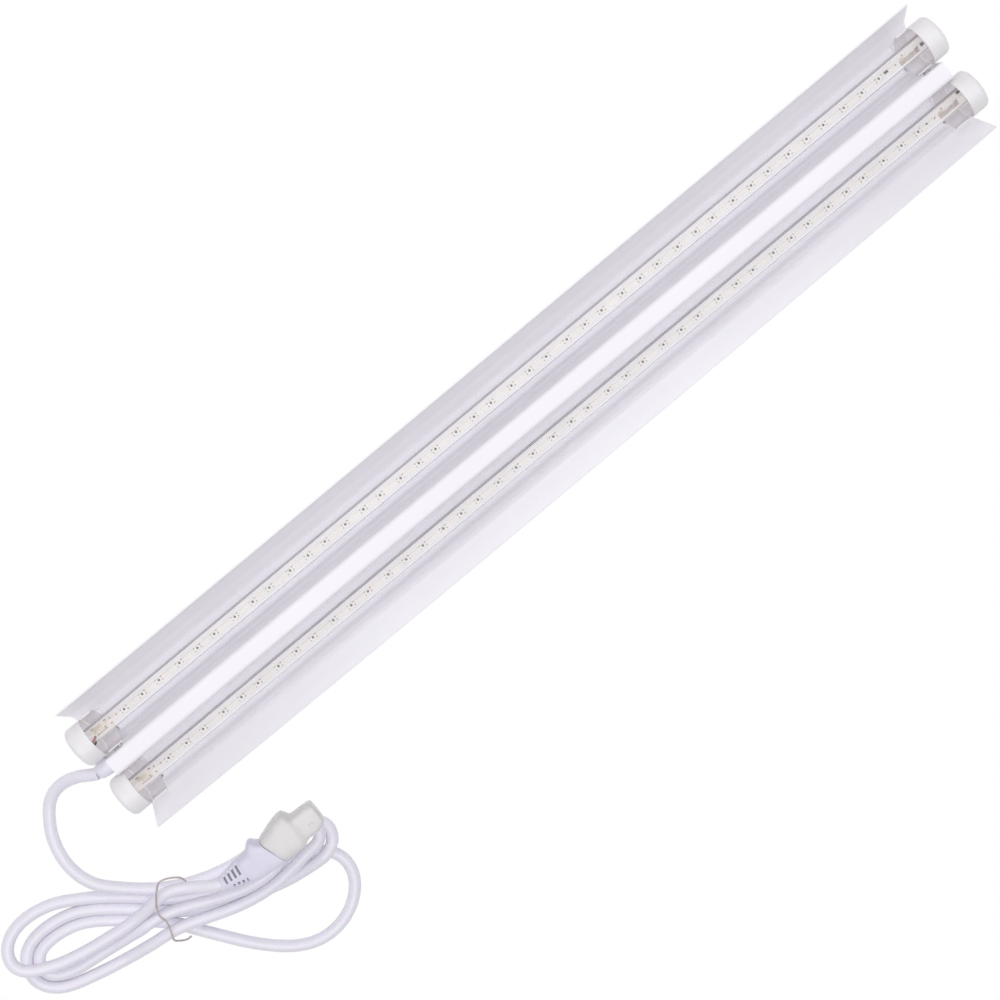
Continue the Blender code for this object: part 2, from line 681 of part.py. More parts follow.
def blade(name, side):
    x0 = FACE_X[1] - SOCKET
    x1 = FACE_X[1] + PRONG_OUT - 0.0016
    return box(name, (x1 - x0, 0.0015, 0.0062), ((x0 + x1) / 2, side * BLADE_Y, PRONG_DROP), BRASS,
               bevel=0.0003, segments=1)


def earth_pin():
    x0 = FACE_X[1] - SOCKET
    x1 = FACE_X[1] + PRONG_OUT
    return cylinder("prong_earth", 0.0024, x1 - x0, ((x0 + x1) / 2, 0, -PRONG_DROP), "X", BRASS,
                    sides=20)


def cover_bore(name, x1, half_y, half_z):
    x0 = COVER_X[0] - 0.002
    obj = box(name, (x1 - x0, 2 * half_y, 2 * half_z), (0, 0, 0), to=cutters)
    obj.matrix_world = plug_place() @ Matrix.Translation(((x0 + x1) / 2, 0, 0))
    return cutter(obj)


def prong_cover():
    """The translucent cover: a wide collar over the plug's face and a narrower sleeve over the prongs."""
    x0, x1 = COVER_X
    sections = [(x0, 0.0108, 0.0085), (x0 + 0.004, 0.0118, 0.0090), (x0 + 0.014, 0.0121, 0.0090),
                (x0 + 0.0172, 0.0098, 0.0082), (x0 + 0.0190, 0.0084, 0.0072), (x1, 0.0080, 0.0069)]
    obj = loft_box("prong_cover", sections, COVER_CLEAR, 0.0018)
    boolean(obj, cover_bore("cut_cover_collar", COVER_STEP_X, 0.0099, 0.0074))
    boolean(obj, cover_bore("cut_cover_sleeve", x1 - 0.0011, 0.0074, 0.0062))
    return obj


def build():
    reflector()
    base_tray()
    tray_end("tray_end_near", -1)
    tray_end("tray_end_far", 1)
    ridge_plug("ridge_plug_near", -1)
    ridge_plug("ridge_plug_far", 1)
    cable_gland()
    for number, y in ((1, TUBE_Y), (2, -TUBE_Y)):
        tube(f"tube_{number}", y)
        led_rail(f"led_rail_{number}", y)
        led_board(f"led_board_{number}", y)
        for label, side in (("near", -1), ("far", 1)):
            end_cap(f"end_cap_{label}_{number}", side, y)
            tube_cradle(f"tube_cradle_{label}_{number}", side, y)
    driver()
    feed("feed_1", 1, FEED_RED)
    feed("feed_2", -1, PART_BLACK)
    cord()
    plug()


build()
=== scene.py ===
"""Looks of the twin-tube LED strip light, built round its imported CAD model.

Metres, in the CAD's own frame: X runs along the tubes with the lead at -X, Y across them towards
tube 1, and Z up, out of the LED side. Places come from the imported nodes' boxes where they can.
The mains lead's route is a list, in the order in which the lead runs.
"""

from math import cos, pi, radians, sin

import bmesh
import bpy
import numpy as np
from mathutils import Matrix, Quaternion, Vector

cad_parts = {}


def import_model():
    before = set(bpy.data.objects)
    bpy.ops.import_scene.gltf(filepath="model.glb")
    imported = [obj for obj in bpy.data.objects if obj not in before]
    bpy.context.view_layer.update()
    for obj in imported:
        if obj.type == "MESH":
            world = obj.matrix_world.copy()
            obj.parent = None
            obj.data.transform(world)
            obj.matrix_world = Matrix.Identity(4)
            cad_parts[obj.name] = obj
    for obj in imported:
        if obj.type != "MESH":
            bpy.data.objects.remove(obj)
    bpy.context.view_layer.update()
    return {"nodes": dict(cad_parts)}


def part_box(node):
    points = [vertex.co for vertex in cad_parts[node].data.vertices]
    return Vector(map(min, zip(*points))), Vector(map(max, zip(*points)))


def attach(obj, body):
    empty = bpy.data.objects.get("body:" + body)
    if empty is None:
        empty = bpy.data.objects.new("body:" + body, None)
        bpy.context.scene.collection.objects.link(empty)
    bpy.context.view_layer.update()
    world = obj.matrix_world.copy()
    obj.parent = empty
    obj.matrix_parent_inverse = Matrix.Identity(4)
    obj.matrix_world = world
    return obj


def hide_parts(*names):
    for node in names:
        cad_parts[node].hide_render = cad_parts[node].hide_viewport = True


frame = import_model()
MM = 0.001

# ---- sizes taken from the frame ----
TUBE_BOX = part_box("tube_1")
TUBE_Y = (TUBE_BOX[0].y + TUBE_BOX[1].y) / 2
AXIS_Z = (TUBE_BOX[0].z + TUBE_BOX[1].z) / 2
TUBE_R = (TUBE_BOX[1].z - TUBE_BOX[0].z) / 2
TUBE_HALF_X = TUBE_BOX[1].x
CAP_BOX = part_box("end_cap_far_1")
CAP_R = (CAP_BOX[1].z - CAP_BOX[0].z) / 2
CAP_FACE_X = CAP_BOX[1].x
CAP_RIM_X = CAP_BOX[0].x
SHEET_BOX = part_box("reflector")
RIDGE_TOP_Z = SHEET_BOX[1].z
TIP_Y = SHEET_BOX[1].y
TIP_END_X = SHEET_BOX[1].x
RAIL_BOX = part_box("led_rail_1")
BOARD_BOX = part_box("led_board_1")
LED_HEIGHT = 0.7 * MM
LED_BASE_Z = BOARD_BOX[1].z - LED_HEIGHT
GLAND_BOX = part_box("cable_gland")
GLAND_Y = (GLAND_BOX[0].y + GLAND_BOX[1].y) / 2
GLAND_Z = (GLAND_BOX[0].z + GLAND_BOX[1].z) / 2
CRADLE_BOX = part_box("tube_cradle_far_1")
CORD_R = 3.5 * MM
ROWS = ((1, TUBE_Y), (2, -TUBE_Y))
ENDS = (("near", -1), ("far", 1))


def at(x, y, z):
    """A point given in millimetres."""
    return Vector((x * MM, y * MM, z * MM))


# ---- modelling helpers ----
def mesh_object(name, bm, mat):
    mesh = bpy.data.meshes.new(name)
    bm.to_mesh(mesh)
    bm.free()
    obj = bpy.data.objects.new(name, mesh)
    bpy.context.scene.collection.objects.link(obj)
    if mat:
        mesh.materials.append(mat)
    return obj


def applied(obj):
    """Turns the object's modifiers into its mesh."""
    bpy.context.view_layer.update()
    graph = bpy.context.evaluated_depsgraph_get()
    mesh = bpy.data.meshes.new_from_object(obj.evaluated_get(graph))
    obj.modifiers.clear()
    obj.data = mesh
    return obj


def place(obj, slot, *nodes, body="fixture", sharp=35):
    """Shades a finished piece, puts it on its body and hides the nodes it replaces; slot is not used."""
    if obj.type == "MESH":
        obj.data.shade_smooth()
        obj.data.set_sharp_from_angle(angle=radians(sharp))
    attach(obj, body)
    if nodes:
        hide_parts(*nodes)
    return obj


def bevel(obj, width, segments=2, angle=30):
    mod = obj.modifiers.new("edges", "BEVEL")
    mod.width = width
    mod.segments = segments
    mod.limit_method = "ANGLE"
    mod.angle_limit = radians(angle)
    return obj


def corner_arc(before, corner, after, radius, steps):
    """Points of the arc that rounds a corner of a flat outline."""
    a = (Vector(before) - Vector(corner)).normalized()
    b = (Vector(after) - Vector(corner)).normalized()
    half = a.angle(b) / 2
    reach = radius / sin(half) * cos(half)
    middle = Vector(corner) + (a + b).normalized() * (radius / sin(half))
    start = Vector(corner) + a * reach - middle
    end = Vector(corner) + b * reach - middle
    turn = pi - 2 * half
    out = []
    for i in range(steps + 1):
        t = turn * i / steps
        out.append(tuple(middle + (start * sin(turn - t) + end * sin(t)) / sin(turn)))
    return out


def rounded(points, radii, closed=False, steps=8):
    """An outline with each corner rounded by its own radius; 0 leaves it sharp."""
    out = []
    count = len(points)
    for i, (point, radius) in enumerate(zip(points, radii)):
        open_end = not closed and i in (0, count - 1)
        if radius == 0 or open_end:
            out.append(tuple(point))
            continue
        out += corner_arc(points[i - 1], point, points[(i + 1) % count], radius, steps)
    return out


def bridge(bm, first, second):
    """Faces between two closed rings of the same number of vertices."""
    count = len(first)
    for i in range(count):
        j = (i + 1) % count
        bm.faces.new((first[i], first[j], second[j], second[i]))


def lathe(name, profile, mat, centre=(0, 0, 0), sides=96, side=1, closed=False):
    """A profile of (along X, radius) turned about an axis parallel to X; side -1 mirrors it."""
    bm = bmesh.new()
    rings = []
    for along, radius in profile:
        if radius == 0:
            rings.append([bm.verts.new((side * along, 0, 0))])
            continue
        ring = []
        for i in range(sides):
            a = 2 * pi * i / sides
            ring.append(bm.verts.new((side * along, radius * cos(a), radius * sin(a))))
        rings.append(ring)
    pairs = list(zip(rings, rings[1:])) + ([(rings[-1], rings[0])] if closed else [])
    for a, b in pairs:
        if len(a) == 1 or len(b) == 1:
            tip, ring = (a[0], b) if len(a) == 1 else (b[0], a)
            for i in range(sides):
                bm.faces.new((tip, ring[i], ring[(i + 1) % sides]))
        else:
            bridge(bm, a, b)
    bmesh.ops.recalc_face_normals(bm, faces=bm.faces)
    bmesh.ops.translate(bm, vec=centre, verts=bm.verts)
    return mesh_object(name, bm, mat)


def solid_between(name, first, second, mat):
    """A closed solid between two rings of points."""
    bm = bmesh.new()
    rings = [[bm.verts.new(point) for point in points] for points in (first, second)]
    bridge(bm, rings[0], rings[1])
    bm.faces.new(rings[0])
    bm.faces.new(rings[1])
    bmesh.ops.recalc_face_normals(bm, faces=bm.faces)
    return mesh_object(name, bm, mat)


def prism(name, outline, x0, x1, mat, y=0.0):
    """A closed outline of (Y, Z) drawn from x0 to x1."""
    first, second = ([(x, y + v, w) for v, w in outline] for x in (x0, x1))
    return solid_between(name, first, second, mat)


def add_chip(bm, centre, size, chamfer=0.0):
    """Adds a small block with a chamfered top; centre is the middle of its underside."""
    cx, cy, cz = centre
    hx, hy, height = size[0] / 2, size[1] / 2, size[2]
    rings = []
    for inset, z in ((0.0, 0.0), (0.0, height - chamfer), (chamfer, height)):
        corners = ((-1, -1), (1, -1), (1, 1), (-1, 1))
        rings.append([
            bm.verts.new((cx + s * (hx - inset), cy + t * (hy - inset), cz + z)) for s, t in corners
        ])
    bridge(bm, rings[0], rings[1])
    bridge(bm, rings[1], rings[2])
    bm.faces.new(list(reversed(rings[0])))
    bm.faces.new(rings[2])


def add_disc(bm, centre, radius, height, sides=20):
    """Adds a small flat disc with a softened rim."""
    cx, cy, cz = centre
    rings = []
    for r, z in ((radius, 0.0), (radius, height * 0.6), (radius * 0.82, height)):
        rings.append([
            bm.verts.new((cx + r * cos(2 * pi * i / sides), cy + r * sin(2 * pi * i / sides), cz + z))
            for i in range(sides)
        ])
    bridge(bm, rings[0], rings[1])
    bridge(bm, rings[1], rings[2])
    bm.faces.new(rings[2])


def smooth_route(points, step):
    """Evenly spaced points on a smooth curve through the given ones."""
    pts = [Vector(p) for p in points]
    pts = [2 * pts[0] - pts[1]] + pts + [2 * pts[-1] - pts[-2]]
    fine = []
    for a, b, c, d in zip(pts, pts[1:], pts[2:], pts[3:]):
        for i in range(24):
            t = i / 24
            fine.append(
                0.5 * (2 * b + (c - a) * t + (2 * a - 5 * b + 4 * c - d) * t ** 2
                       + (3 * b - a - 3 * c + d) * t ** 3)
            )
    fine.append(pts[-2])
    line = np.array(fine)
    gone = np.concatenate(([0], np.cumsum(np.linalg.norm(np.diff(line, axis=0), axis=1))))
    even = np.linspace(0, gone[-1], max(2, round(gone[-1] / step) + 1))
    return np.stack([np.interp(even, gone, line[:, k]) for k in range(3)], axis=1)


def wire(name, points, radius, mat, resolution=6):
    """A round wire along a list of points, with closed ends."""
    data = bpy.data.curves.new(name, "CURVE")
    data.dimensions = "3D"
    data.bevel_depth = radius
    data.bevel_resolution = resolution
    data.use_fill_caps = True
    spline = data.splines.new("POLY")
    spline.points.add(len(points) - 1)
    for point, co in zip(spline.points, points):
        point.co = (*co, 1)
    obj = bpy.data.objects.new(name, data)
    bpy.context.scene.collection.objects.link(obj)
    data.materials.append(mat)
    return obj


def cut(obj, cutters):
    """Takes the cutters out of obj and removes them."""
    for cutter in cutters:
        mod = obj.modifiers.new("cut", "BOOLEAN")
        mod.operation = "DIFFERENCE"
        mod.solver = "MANIFOLD"
        mod.object = cutter
    applied(obj)
    for cutter in cutters:
        bpy.data.objects.remove(cutter, do_unlink=True)
    return obj


# ---- materials ----
def noise(nodes, size, detail=3.0):
    """A noise texture whose features are about size across, in the frame's own metres."""
    place_node = nodes.new("ShaderNodeTexCoord")
    texture = nodes.new("ShaderNodeTexNoise")
    texture.inputs["Scale"].default_value = 1 / size
    texture.inputs["Detail"].default_value = detail
    nodes.id_data.links.new(place_node.outputs["Object"], texture.inputs["Vector"])
    return texture.outputs["Fac"]


def uneven_gloss(nodes, shader, size, low, high):
    """Roughness that wanders between low and high in patches of that size."""
    gloss = nodes.new("ShaderNodeMapRange")
    gloss.inputs["To Min"].default_value = low
    gloss.inputs["To Max"].default_value = high
    nodes.id_data.links.new(noise(nodes, size), gloss.inputs["Value"])
    nodes.id_data.links.new(gloss.outputs["Result"], shader.inputs["Roughness"])


def fine_relief(nodes, shader, size, strength, depth):
    """A faint unevenness with bumps of that size."""
    relief = nodes.new("ShaderNodeBump")
    relief.inputs["Strength"].default_value = strength
    relief.inputs["Distance"].default_value = depth
    nodes.id_data.links.new(noise(nodes, size), relief.inputs["Height"])
    nodes.id_data.links.new(relief.outputs["Normal"], shader.inputs["Normal"])


def surface(name, color, roughness, patch=0.03, tint=0.03, grain=0.0007, bump=0.25, depth=0.00003,
            extra=None):
    """A finish with faint patches of colour, uneven gloss and a fine grain.

    patch and grain are the sizes of the patches and the grain; tint is how far the colour moves.
    """
    mat = bpy.data.materials.new(name)
    mat.use_nodes = True
    nodes, links = mat.node_tree.nodes, mat.node_tree.links
    shader = nodes["Principled BSDF"]
    for socket, value in (extra or {}).items():
        shader.inputs[socket].default_value = value
    ramp = nodes.new("ShaderNodeValToRGB")
    ramp.color_ramp.elements[0].position = 0.32
    ramp.color_ramp.elements[1].position = 0.68
    ramp.color_ramp.elements[0].color = (*(c * (1 - tint) for c in color), 1)
    ramp.color_ramp.elements[1].color = (*(min(1, c * (1 + tint)) for c in color), 1)
    links.new(noise(nodes, patch), ramp.inputs["Fac"])
    links.new(ramp.outputs["Color"], shader.inputs["Base Color"])
    uneven_gloss(nodes, shader, patch / 3, roughness * 0.85, min(1.0, roughness * 1.2))
    fine_relief(nodes, shader, grain, bump, depth)
    return mat


def clear_material(name, tint, edge_tint, gloss_facing, gloss_edge):
    """Clear plastic: see-through, darker where it is seen edge on, with a mirror-like gloss."""
    mat = bpy.data.materials.new(name)
    mat.use_nodes = True
    nodes, links = mat.node_tree.nodes, mat.node_tree.links
    gloss = nodes["Principled BSDF"]
    gloss.inputs["Metallic"].default_value = 1.0
    shade = nodes.new("ShaderNodeValToRGB")
    shade.color_ramp.elements[0].color = (0.93, 0.93, 0.95, 1)
    shade.color_ramp.elements[1].color = (1.0, 1.0, 1.0, 1)
    links.new(noise(nodes, 0.05), shade.inputs["Fac"])
    links.new(shade.outputs["Color"], gloss.inputs["Base Color"])
    uneven_gloss(nodes, gloss, 0.01, 0.04, 0.10)
    fine_relief(nodes, gloss, 0.006, 0.2, 0.00004)
    through = nodes.new("ShaderNodeBsdfTransparent")
    facing = nodes.new("ShaderNodeLayerWeight")
    facing.inputs["Blend"].default_value = 0.5
    edge = nodes.new("ShaderNodeValToRGB")
    edge.color_ramp.elements[0].position = 0.70
    edge.color_ramp.elements[0].color = (*tint, 1)
    edge.color_ramp.elements[1].color = (*edge_tint, 1)
    links.new(facing.outputs["Facing"], edge.inputs["Fac"])
    links.new(edge.outputs["Color"], through.inputs["Color"])
    grazing = nodes.new("ShaderNodeMath")
    grazing.operation = "POWER"
    grazing.inputs[1].default_value = 4.0
    links.new(facing.outputs["Facing"], grazing.inputs[0])
    mirror = nodes.new("ShaderNodeMapRange")
    mirror.inputs["To Min"].default_value = gloss_facing
    mirror.inputs["To Max"].default_value = gloss_edge
    links.new(grazing.outputs["Value"], mirror.inputs["Value"])
    mix = nodes.new("ShaderNodeMixShader")
    links.new(mirror.outputs["Result"], mix.inputs["Fac"])
    links.new(through.outputs["BSDF"], mix.inputs[1])
    links.new(gloss.outputs["BSDF"], mix.inputs[2])
    links.new(mix.outputs["Shader"], nodes["Material Output"].inputs["Surface"])
    return mat


PAINT = surface("reflector_paint", (0.925, 0.912, 0.945), 0.30, patch=0.06, tint=0.012, grain=0.0012,
                bump=0.15, extra={"Coat Weight": 0.25, "Coat Roughness": 0.2})
TRAY_PAINT = surface("tray_paint", (0.84, 0.84, 0.86), 0.42, patch=0.05, tint=0.02, grain=0.0010)
CLEAR = clear_material("clear_tube", (0.992, 0.991, 0.994), (0.90, 0.895, 0.91), 0.03, 0.30)
CAP = surface("cap_plastic", (0.87, 0.85, 0.856), 0.32, patch=0.012, tint=0.02, grain=0.0008,
              extra={"Subsurface Weight": 0.1, "Subsurface Scale": 0.002})
CRADLE = surface("cradle_plastic", (0.84, 0.81, 0.82), 0.40, patch=0.006, tint=0.05)
RIDGE_PLUG = surface("ridge_plug_plastic", (0.82, 0.81, 0.84), 0.35, patch=0.006, tint=0.03)
BOARD = surface("board_lacquer", (0.80, 0.765, 0.735), 0.35, patch=0.011, tint=0.03, grain=0.0006)
# grey aluminium, made darker than it is to paint the shade along the boards' edges
RAIL_AND_SHADE = surface("rail_metal_and_shade", (0.47, 0.45, 0.47), 0.45, patch=0.02, tint=0.05, grain=0.0005,
               extra={"Metallic": 0.5})
RAIL_LIP = surface("rail_lip", (0.78, 0.77, 0.81), 0.35, patch=0.02, tint=0.03)
LED_BODY = surface("led_body", (0.80, 0.78, 0.76), 0.35, patch=0.002, tint=0.04, grain=0.0004)
LED_WINDOW = surface("led_window", (0.12, 0.085, 0.07), 0.22, patch=0.0006, tint=0.25, grain=0.0003)
SOLDER = surface("solder_pads", (0.36, 0.32, 0.29), 0.35, patch=0.0008, tint=0.2, grain=0.0002,
                 extra={"Metallic": 0.6})
CHIP_BLACK = surface("chip_black", (0.05, 0.045, 0.045), 0.35, patch=0.001, tint=0.2)
TAN_PATCH = surface("bare_laminate", (0.68, 0.60, 0.50), 0.45, patch=0.004, tint=0.18, grain=0.0005)
BROWN_PATCH = surface("brown_laminate", (0.46, 0.39, 0.37), 0.40, patch=0.003, tint=0.2, grain=0.0005)
CORD = surface("cord_pvc", (0.82, 0.805, 0.875), 0.27, patch=0.03, tint=0.015, grain=0.0010,
               bump=0.2, extra={"Coat Weight": 0.3, "Coat Roughness": 0.15,
                                "Subsurface Weight": 0.08, "Subsurface Scale": 0.002})
PLUG = surface("plug_pvc", (0.74, 0.73, 0.84), 0.36, patch=0.008, tint=0.02, grain=0.0006)
# painted shade: the dark core under the strain relief's slots, so that the slots look shaded
SLOT_SHADE_MAT = surface("relief_slot_shade", (0.26, 0.25, 0.29), 0.5, patch=0.004, tint=0.1)
COVER = surface("cover_plastic", (0.78, 0.765, 0.755), 0.34, patch=0.009, tint=0.03, grain=0.0009,
                extra={"Alpha": 0.88})
TIE = surface("tie_wire_coat", (0.52, 0.46, 0.46), 0.45, patch=0.003, tint=0.15, grain=0.0004)
BRASS = surface("prong_metal", (0.78, 0.64, 0.40), 0.25, patch=0.004, tint=0.06,
                extra={"Metallic": 1.0})
STEEL = surface("screw_steel", (0.60, 0.60, 0.62), 0.32, patch=0.002, tint=0.08,
                extra={"Metallic": 1.0})
GREEN = surface("driver_laminate", (0.08, 0.26, 0.13), 0.42, patch=0.005, tint=0.15)
BLACK = surface("part_black", (0.03, 0.03, 0.032), 0.38, patch=0.003, tint=0.2)
BLUE = surface("part_blue", (0.07, 0.11, 0.34), 0.32, patch=0.003, tint=0.12)
RED = surface("wire_red", (0.34, 0.08, 0.07), 0.36, patch=0.003, tint=0.1)


def finish_cad_nodes():
    """Gives the nodes that stay in view the finish that suits them."""
    finishes = (
        (TRAY_PAINT, ("base_tray", "tray_end_near", "tray_end_far")),
        (GREEN, ("driver_board",)),
        (BLACK, ("transformer", "rectifier", "input_capacitor", "inductor", "feed_2")),
        (BLUE, ("film_capacitor", "output_capacitor")),
        (CAP, ("terminal_block", "fuse")),
        (STEEL, ("board_screw_1", "board_screw_2")),
        (BRASS, ("standoff_1", "standoff_2", "prong_live", "prong_neutral", "prong_earth")),
        (RED, ("feed_1",)),
    )
    for mat, nodes in finishes:
        for node in nodes:
            for slot in frame["nodes"][node].material_slots:
                slot.material = mat


# ---- reflector ----
SHEET = 0.8 * MM
RIDGE_HALF = 5.4 * MM           # half width of the ridge at its top corner
RIDGE_FOOT_Y = 8.8 * MM
FLOOR_Z = 9.5 * MM
FLOOR_OUT_Y = 27.0 * MM
FOLD_Y = 33.0 * MM
FOLD_Z = 15.65 * MM
TIP_Z = 26.5 * MM
SHEET_END_X = 291.4 * MM
NOTCH_X = 277.0 * MM
NOTCH_IN_Y = 5.2 * MM
NOTCH_OUT_Y = 28.4 * MM
NOTCH_R = 3.0 * MM
END_SLANT = 2.6 * MM            # notches and cradles start this much nearer the caps at their +Y side
WING_1_CLOSE = (3.0, 2.2)       # degrees that wing 1 closes in at its ends, and more at its middle
WING_2_OPEN = (2.0, 18.0)       # degrees that wing 2 opens out, in the same way
RIPPLE = 0.10 * MM              # how far a hand-folded sheet strays from flat
SHEET_ROWS = 140
CUTTER_Z = (-0.02, 0.06)        # from well below the sheet to well above it
SEAM_Y = (26.0 * MM, 27.6 * MM)
SEAM_LOW_Z = 7.2 * MM
SEAM_HALF_X = 284.0 * MM


def reflector_outline():
    half = [(RIDGE_HALF, RIDGE_TOP_Z), (RIDGE_FOOT_Y, FLOOR_Z), (FLOOR_OUT_Y, FLOOR_Z),
            (FOLD_Y, FOLD_Z), (TIP_Y, TIP_Z)]
    radii = [2.4 * MM, 1.8 * MM, 3.0 * MM, 1.0 * MM, 0]
    points = [(-y, z) for y, z in reversed(half)] + half
    sheet = rounded(points, list(reversed(radii)) + radii)
    fine = []
    for (y0, z0), (y1, z1) in zip(sheet, sheet[1:]):
        parts = max(1, round(((y1 - y0) ** 2 + (z1 - z0) ** 2) ** 0.5 / (2.2 * MM)))
        fine += [(y0 + (y1 - y0) * i / parts, z0 + (z1 - z0) * i / parts) for i in range(parts)]
    return fine + [sheet[-1]]


def opened(x, y, z):
    """Turns a point of either wing about its fold, most at the middle of the sheet."""
    if abs(y) < FOLD_Y:
        return y, z
    along = x / TIP_END_X
    least, more = WING_1_CLOSE if y > 0 else WING_2_OPEN
    turn = radians(least + more * (1 - along * along))
    fold = FOLD_Y if y > 0 else -FOLD_Y
    dy, dz = y - fold, z - FOLD_Z
    return fold + dy * cos(turn) - dz * sin(turn), FOLD_Z + dz * cos(turn) + dy * sin(turn)


def ripple(x, y):
    """A slow unevenness along the folded sheet."""
    return RIPPLE * (0.6 * sin(19 * x + 55 * y) + 0.4 * sin(43 * x - 80 * y + 1.3))


def reflector():
    bm = bmesh.new()
    outline = reflector_outline()
    rows = []
    for i in range(SHEET_ROWS + 1):
        x = TIP_END_X * (2 * i / SHEET_ROWS - 1)
        row = []
        for y, z in outline:
            new_y, new_z = opened(x, y, z)
            row.append(bm.verts.new((x, new_y, new_z + ripple(x, y))))
        rows.append(row)
    for a, b in zip(rows, rows[1:]):
        for i in range(len(outline) - 1):
            bm.faces.new((a[i], b[i], b[i + 1], a[i + 1]))
    obj = mesh_object("reflector_sheet", bm, PAINT)
    mod = obj.modifiers.new("sheet", "SOLIDIFY")
    mod.thickness = SHEET
    mod.offset = -1.0
    cutters = [end_cut(side) for _, side in ENDS]
    cutters += [notch(side, row) for _, side in ENDS for row in (-1, 1)]
    cut(obj, cutters)
    return place(obj, "white_paint", "reflector", sharp=40)


def flat_cutter(name, outline):
    """An upright cutter through the whole sheet, from an outline of (X, Y)."""
    first, second = ([(x, y, z) for x, y in outline] for z in CUTTER_Z)
    return solid_between(name, first, second, None)


def end_cut(side):
    """Trims the sheet square at its end and leaves the wings' tips longer."""
    out = TIP_END_X + 10 * MM
    slope = (TIP_END_X - SHEET_END_X) / (TIP_Y - FOLD_Y)
    far_y = TIP_Y + 8 * MM
    far_x = SHEET_END_X + slope * (far_y - FOLD_Y)
    points = [(out, -far_y), (out, far_y), (far_x, far_y), (SHEET_END_X, FOLD_Y),
              (SHEET_END_X, -FOLD_Y), (far_x, -far_y)]
    return flat_cutter(f"end_cut_{side + 2}", [(side * x, y) for x, y in points])


def notch(side, row):
    """The rounded notch under one tube end."""
    out = TIP_END_X + 10 * MM
    slants = (0.0, END_SLANT) if row > 0 else (END_SLANT, 0.0)
    corners = [(NOTCH_X + slants[0], NOTCH_IN_Y), (NOTCH_X + slants[1], NOTCH_OUT_Y),
               (out, NOTCH_OUT_Y), (out, NOTCH_IN_Y)]
    outline = rounded([(side * x, row * y) for x, y in corners], [NOTCH_R, NOTCH_R, 0, 0], closed=True)
    return flat_cutter(f"notch_{side + 2}_{row + 2}", outline)


def tray_seam(side):
    """The strip that closes the gap between the tray's side and the sheet above it."""
    inner, outer = (side * y for y in SEAM_Y)
    high = FLOOR_Z - SHEET + 0.15 * MM
    outline = [(inner, SEAM_LOW_Z), (outer, SEAM_LOW_Z), (outer, high), (inner, high)]
    strip = prism(f"tray_seam_{side + 2}", outline, -SEAM_HALF_X, SEAM_HALF_X, TRAY_PAINT)
    place(applied(bevel(strip, 0.15 * MM, 2)), "white_paint")


# ---- tubes, caps and cradles ----
TUBE_WALL = 0.9 * MM
CAP_FILLET = 3.0 * MM
CAP_EDGE = 0.35 * MM
CAP_BORE = TUBE_R + 0.3 * MM
PANEL_R = 7.6 * MM              # the shallow panel in a cap's face
PANEL_DEPTH = 0.3 * MM
BED_STEPS = 28
FOOT_HALF_Y = 8.5 * MM          # the cradle's foot, under its saddle
FOOT_TOP_Z = 10.5 * MM
FOOT_END_X = 283.6 * MM


def tube(number, y):
    stations = [TUBE_HALF_X * (2 * i / 48 - 1) for i in range(49)]
    profile = [(x, TUBE_R) for x in stations]
    profile += [(x, TUBE_R - TUBE_WALL) for x in reversed(stations)]
    obj = lathe(f"clear_tube_{number}", profile, CLEAR, (0, y, AXIS_Z), sides=128, closed=True)
    return place(obj, "clear_tube", f"tube_{number}")


def end_cap(number, y, label, side):
    """A moulded cup over the tube's end, with a rounded face and a shallow panel in it."""
    fillet = [
        (CAP_FACE_X - CAP_FILLET * (1 - sin(a)), CAP_R - CAP_FILLET * (1 - cos(a)))
        for a in (i * pi / 20 for i in range(11))
    ]
    inside_x = TUBE_HALF_X + 0.3 * MM
    panel_x = CAP_FACE_X - PANEL_DEPTH
    profile = [(inside_x, 0), (inside_x, CAP_BORE), (CAP_RIM_X + CAP_EDGE, CAP_BORE)]
    profile += [
        (CAP_RIM_X + CAP_EDGE * (1 - sin(a)), (CAP_BORE + CAP_R) / 2 - (CAP_R - CAP_BORE) / 2 * cos(a))
        for a in (i * pi / 8 for i in range(9))
    ]
    profile += fillet
    profile += [(CAP_FACE_X, PANEL_R + PANEL_DEPTH), (panel_x, PANEL_R), (panel_x, 0)]
    obj = lathe(f"cap_{label}_{number}", profile, CAP, (0, y, AXIS_Z), side=side)
    return place(obj, "cap_white", f"end_cap_{label}_{number}")


def cradle(number, y, label, side):
    """The saddle under a tube end, with softened edges, on its foot."""
    arm, top = CRADLE_BOX[1].y - TUBE_Y, CRADLE_BOX[1].z
    foot_z = CRADLE_BOX[0].z
    start_x, end_x = CRADLE_BOX[0].x, CRADLE_BOX[1].x
    turns = [pi * i / BED_STEPS for i in range(BED_STEPS + 1)]
    bed = [(CAP_BORE * cos(a), AXIS_Z - CAP_BORE * sin(a)) for a in turns]
    bed[0], bed[-1] = (CAP_BORE, top), (-CAP_BORE, top)
    outer = [(-arm * cos(a), AXIS_Z - arm * sin(a)) for a in turns[1:-1]]
    trough = [(-arm, top)] + outer + [(arm, top)] + bed
    lower = [(-FOOT_HALF_Y, FOOT_TOP_Z), (-FOOT_HALF_Y, foot_z), (FOOT_HALF_Y, foot_z),
             (FOOT_HALF_Y, FOOT_TOP_Z)]
    obj = prism(f"cradle_{label}_{number}", trough, side * start_x, side * end_x, CRADLE, y)
    leg = prism(f"leg_{label}_{number}", lower, side * (start_x + 0.1 * MM), side * FOOT_END_X,
                CRADLE, y)
    for vert in obj.data.vertices:
        if abs(vert.co.x) < start_x + 1 * MM and vert.co.y > y:
            vert.co.x += side * END_SLANT * (vert.co.y - y) / arm
    mod = obj.modifiers.new("leg", "BOOLEAN")
    mod.operation = "UNION"
    mod.solver = "MANIFOLD"
    mod.object = leg
    bevel(obj, 0.25 * MM, 2)
    applied(obj)
    bpy.data.objects.remove(leg, do_unlink=True)
    return place(obj, "cradle_grey", f"tube_cradle_{label}_{number}")


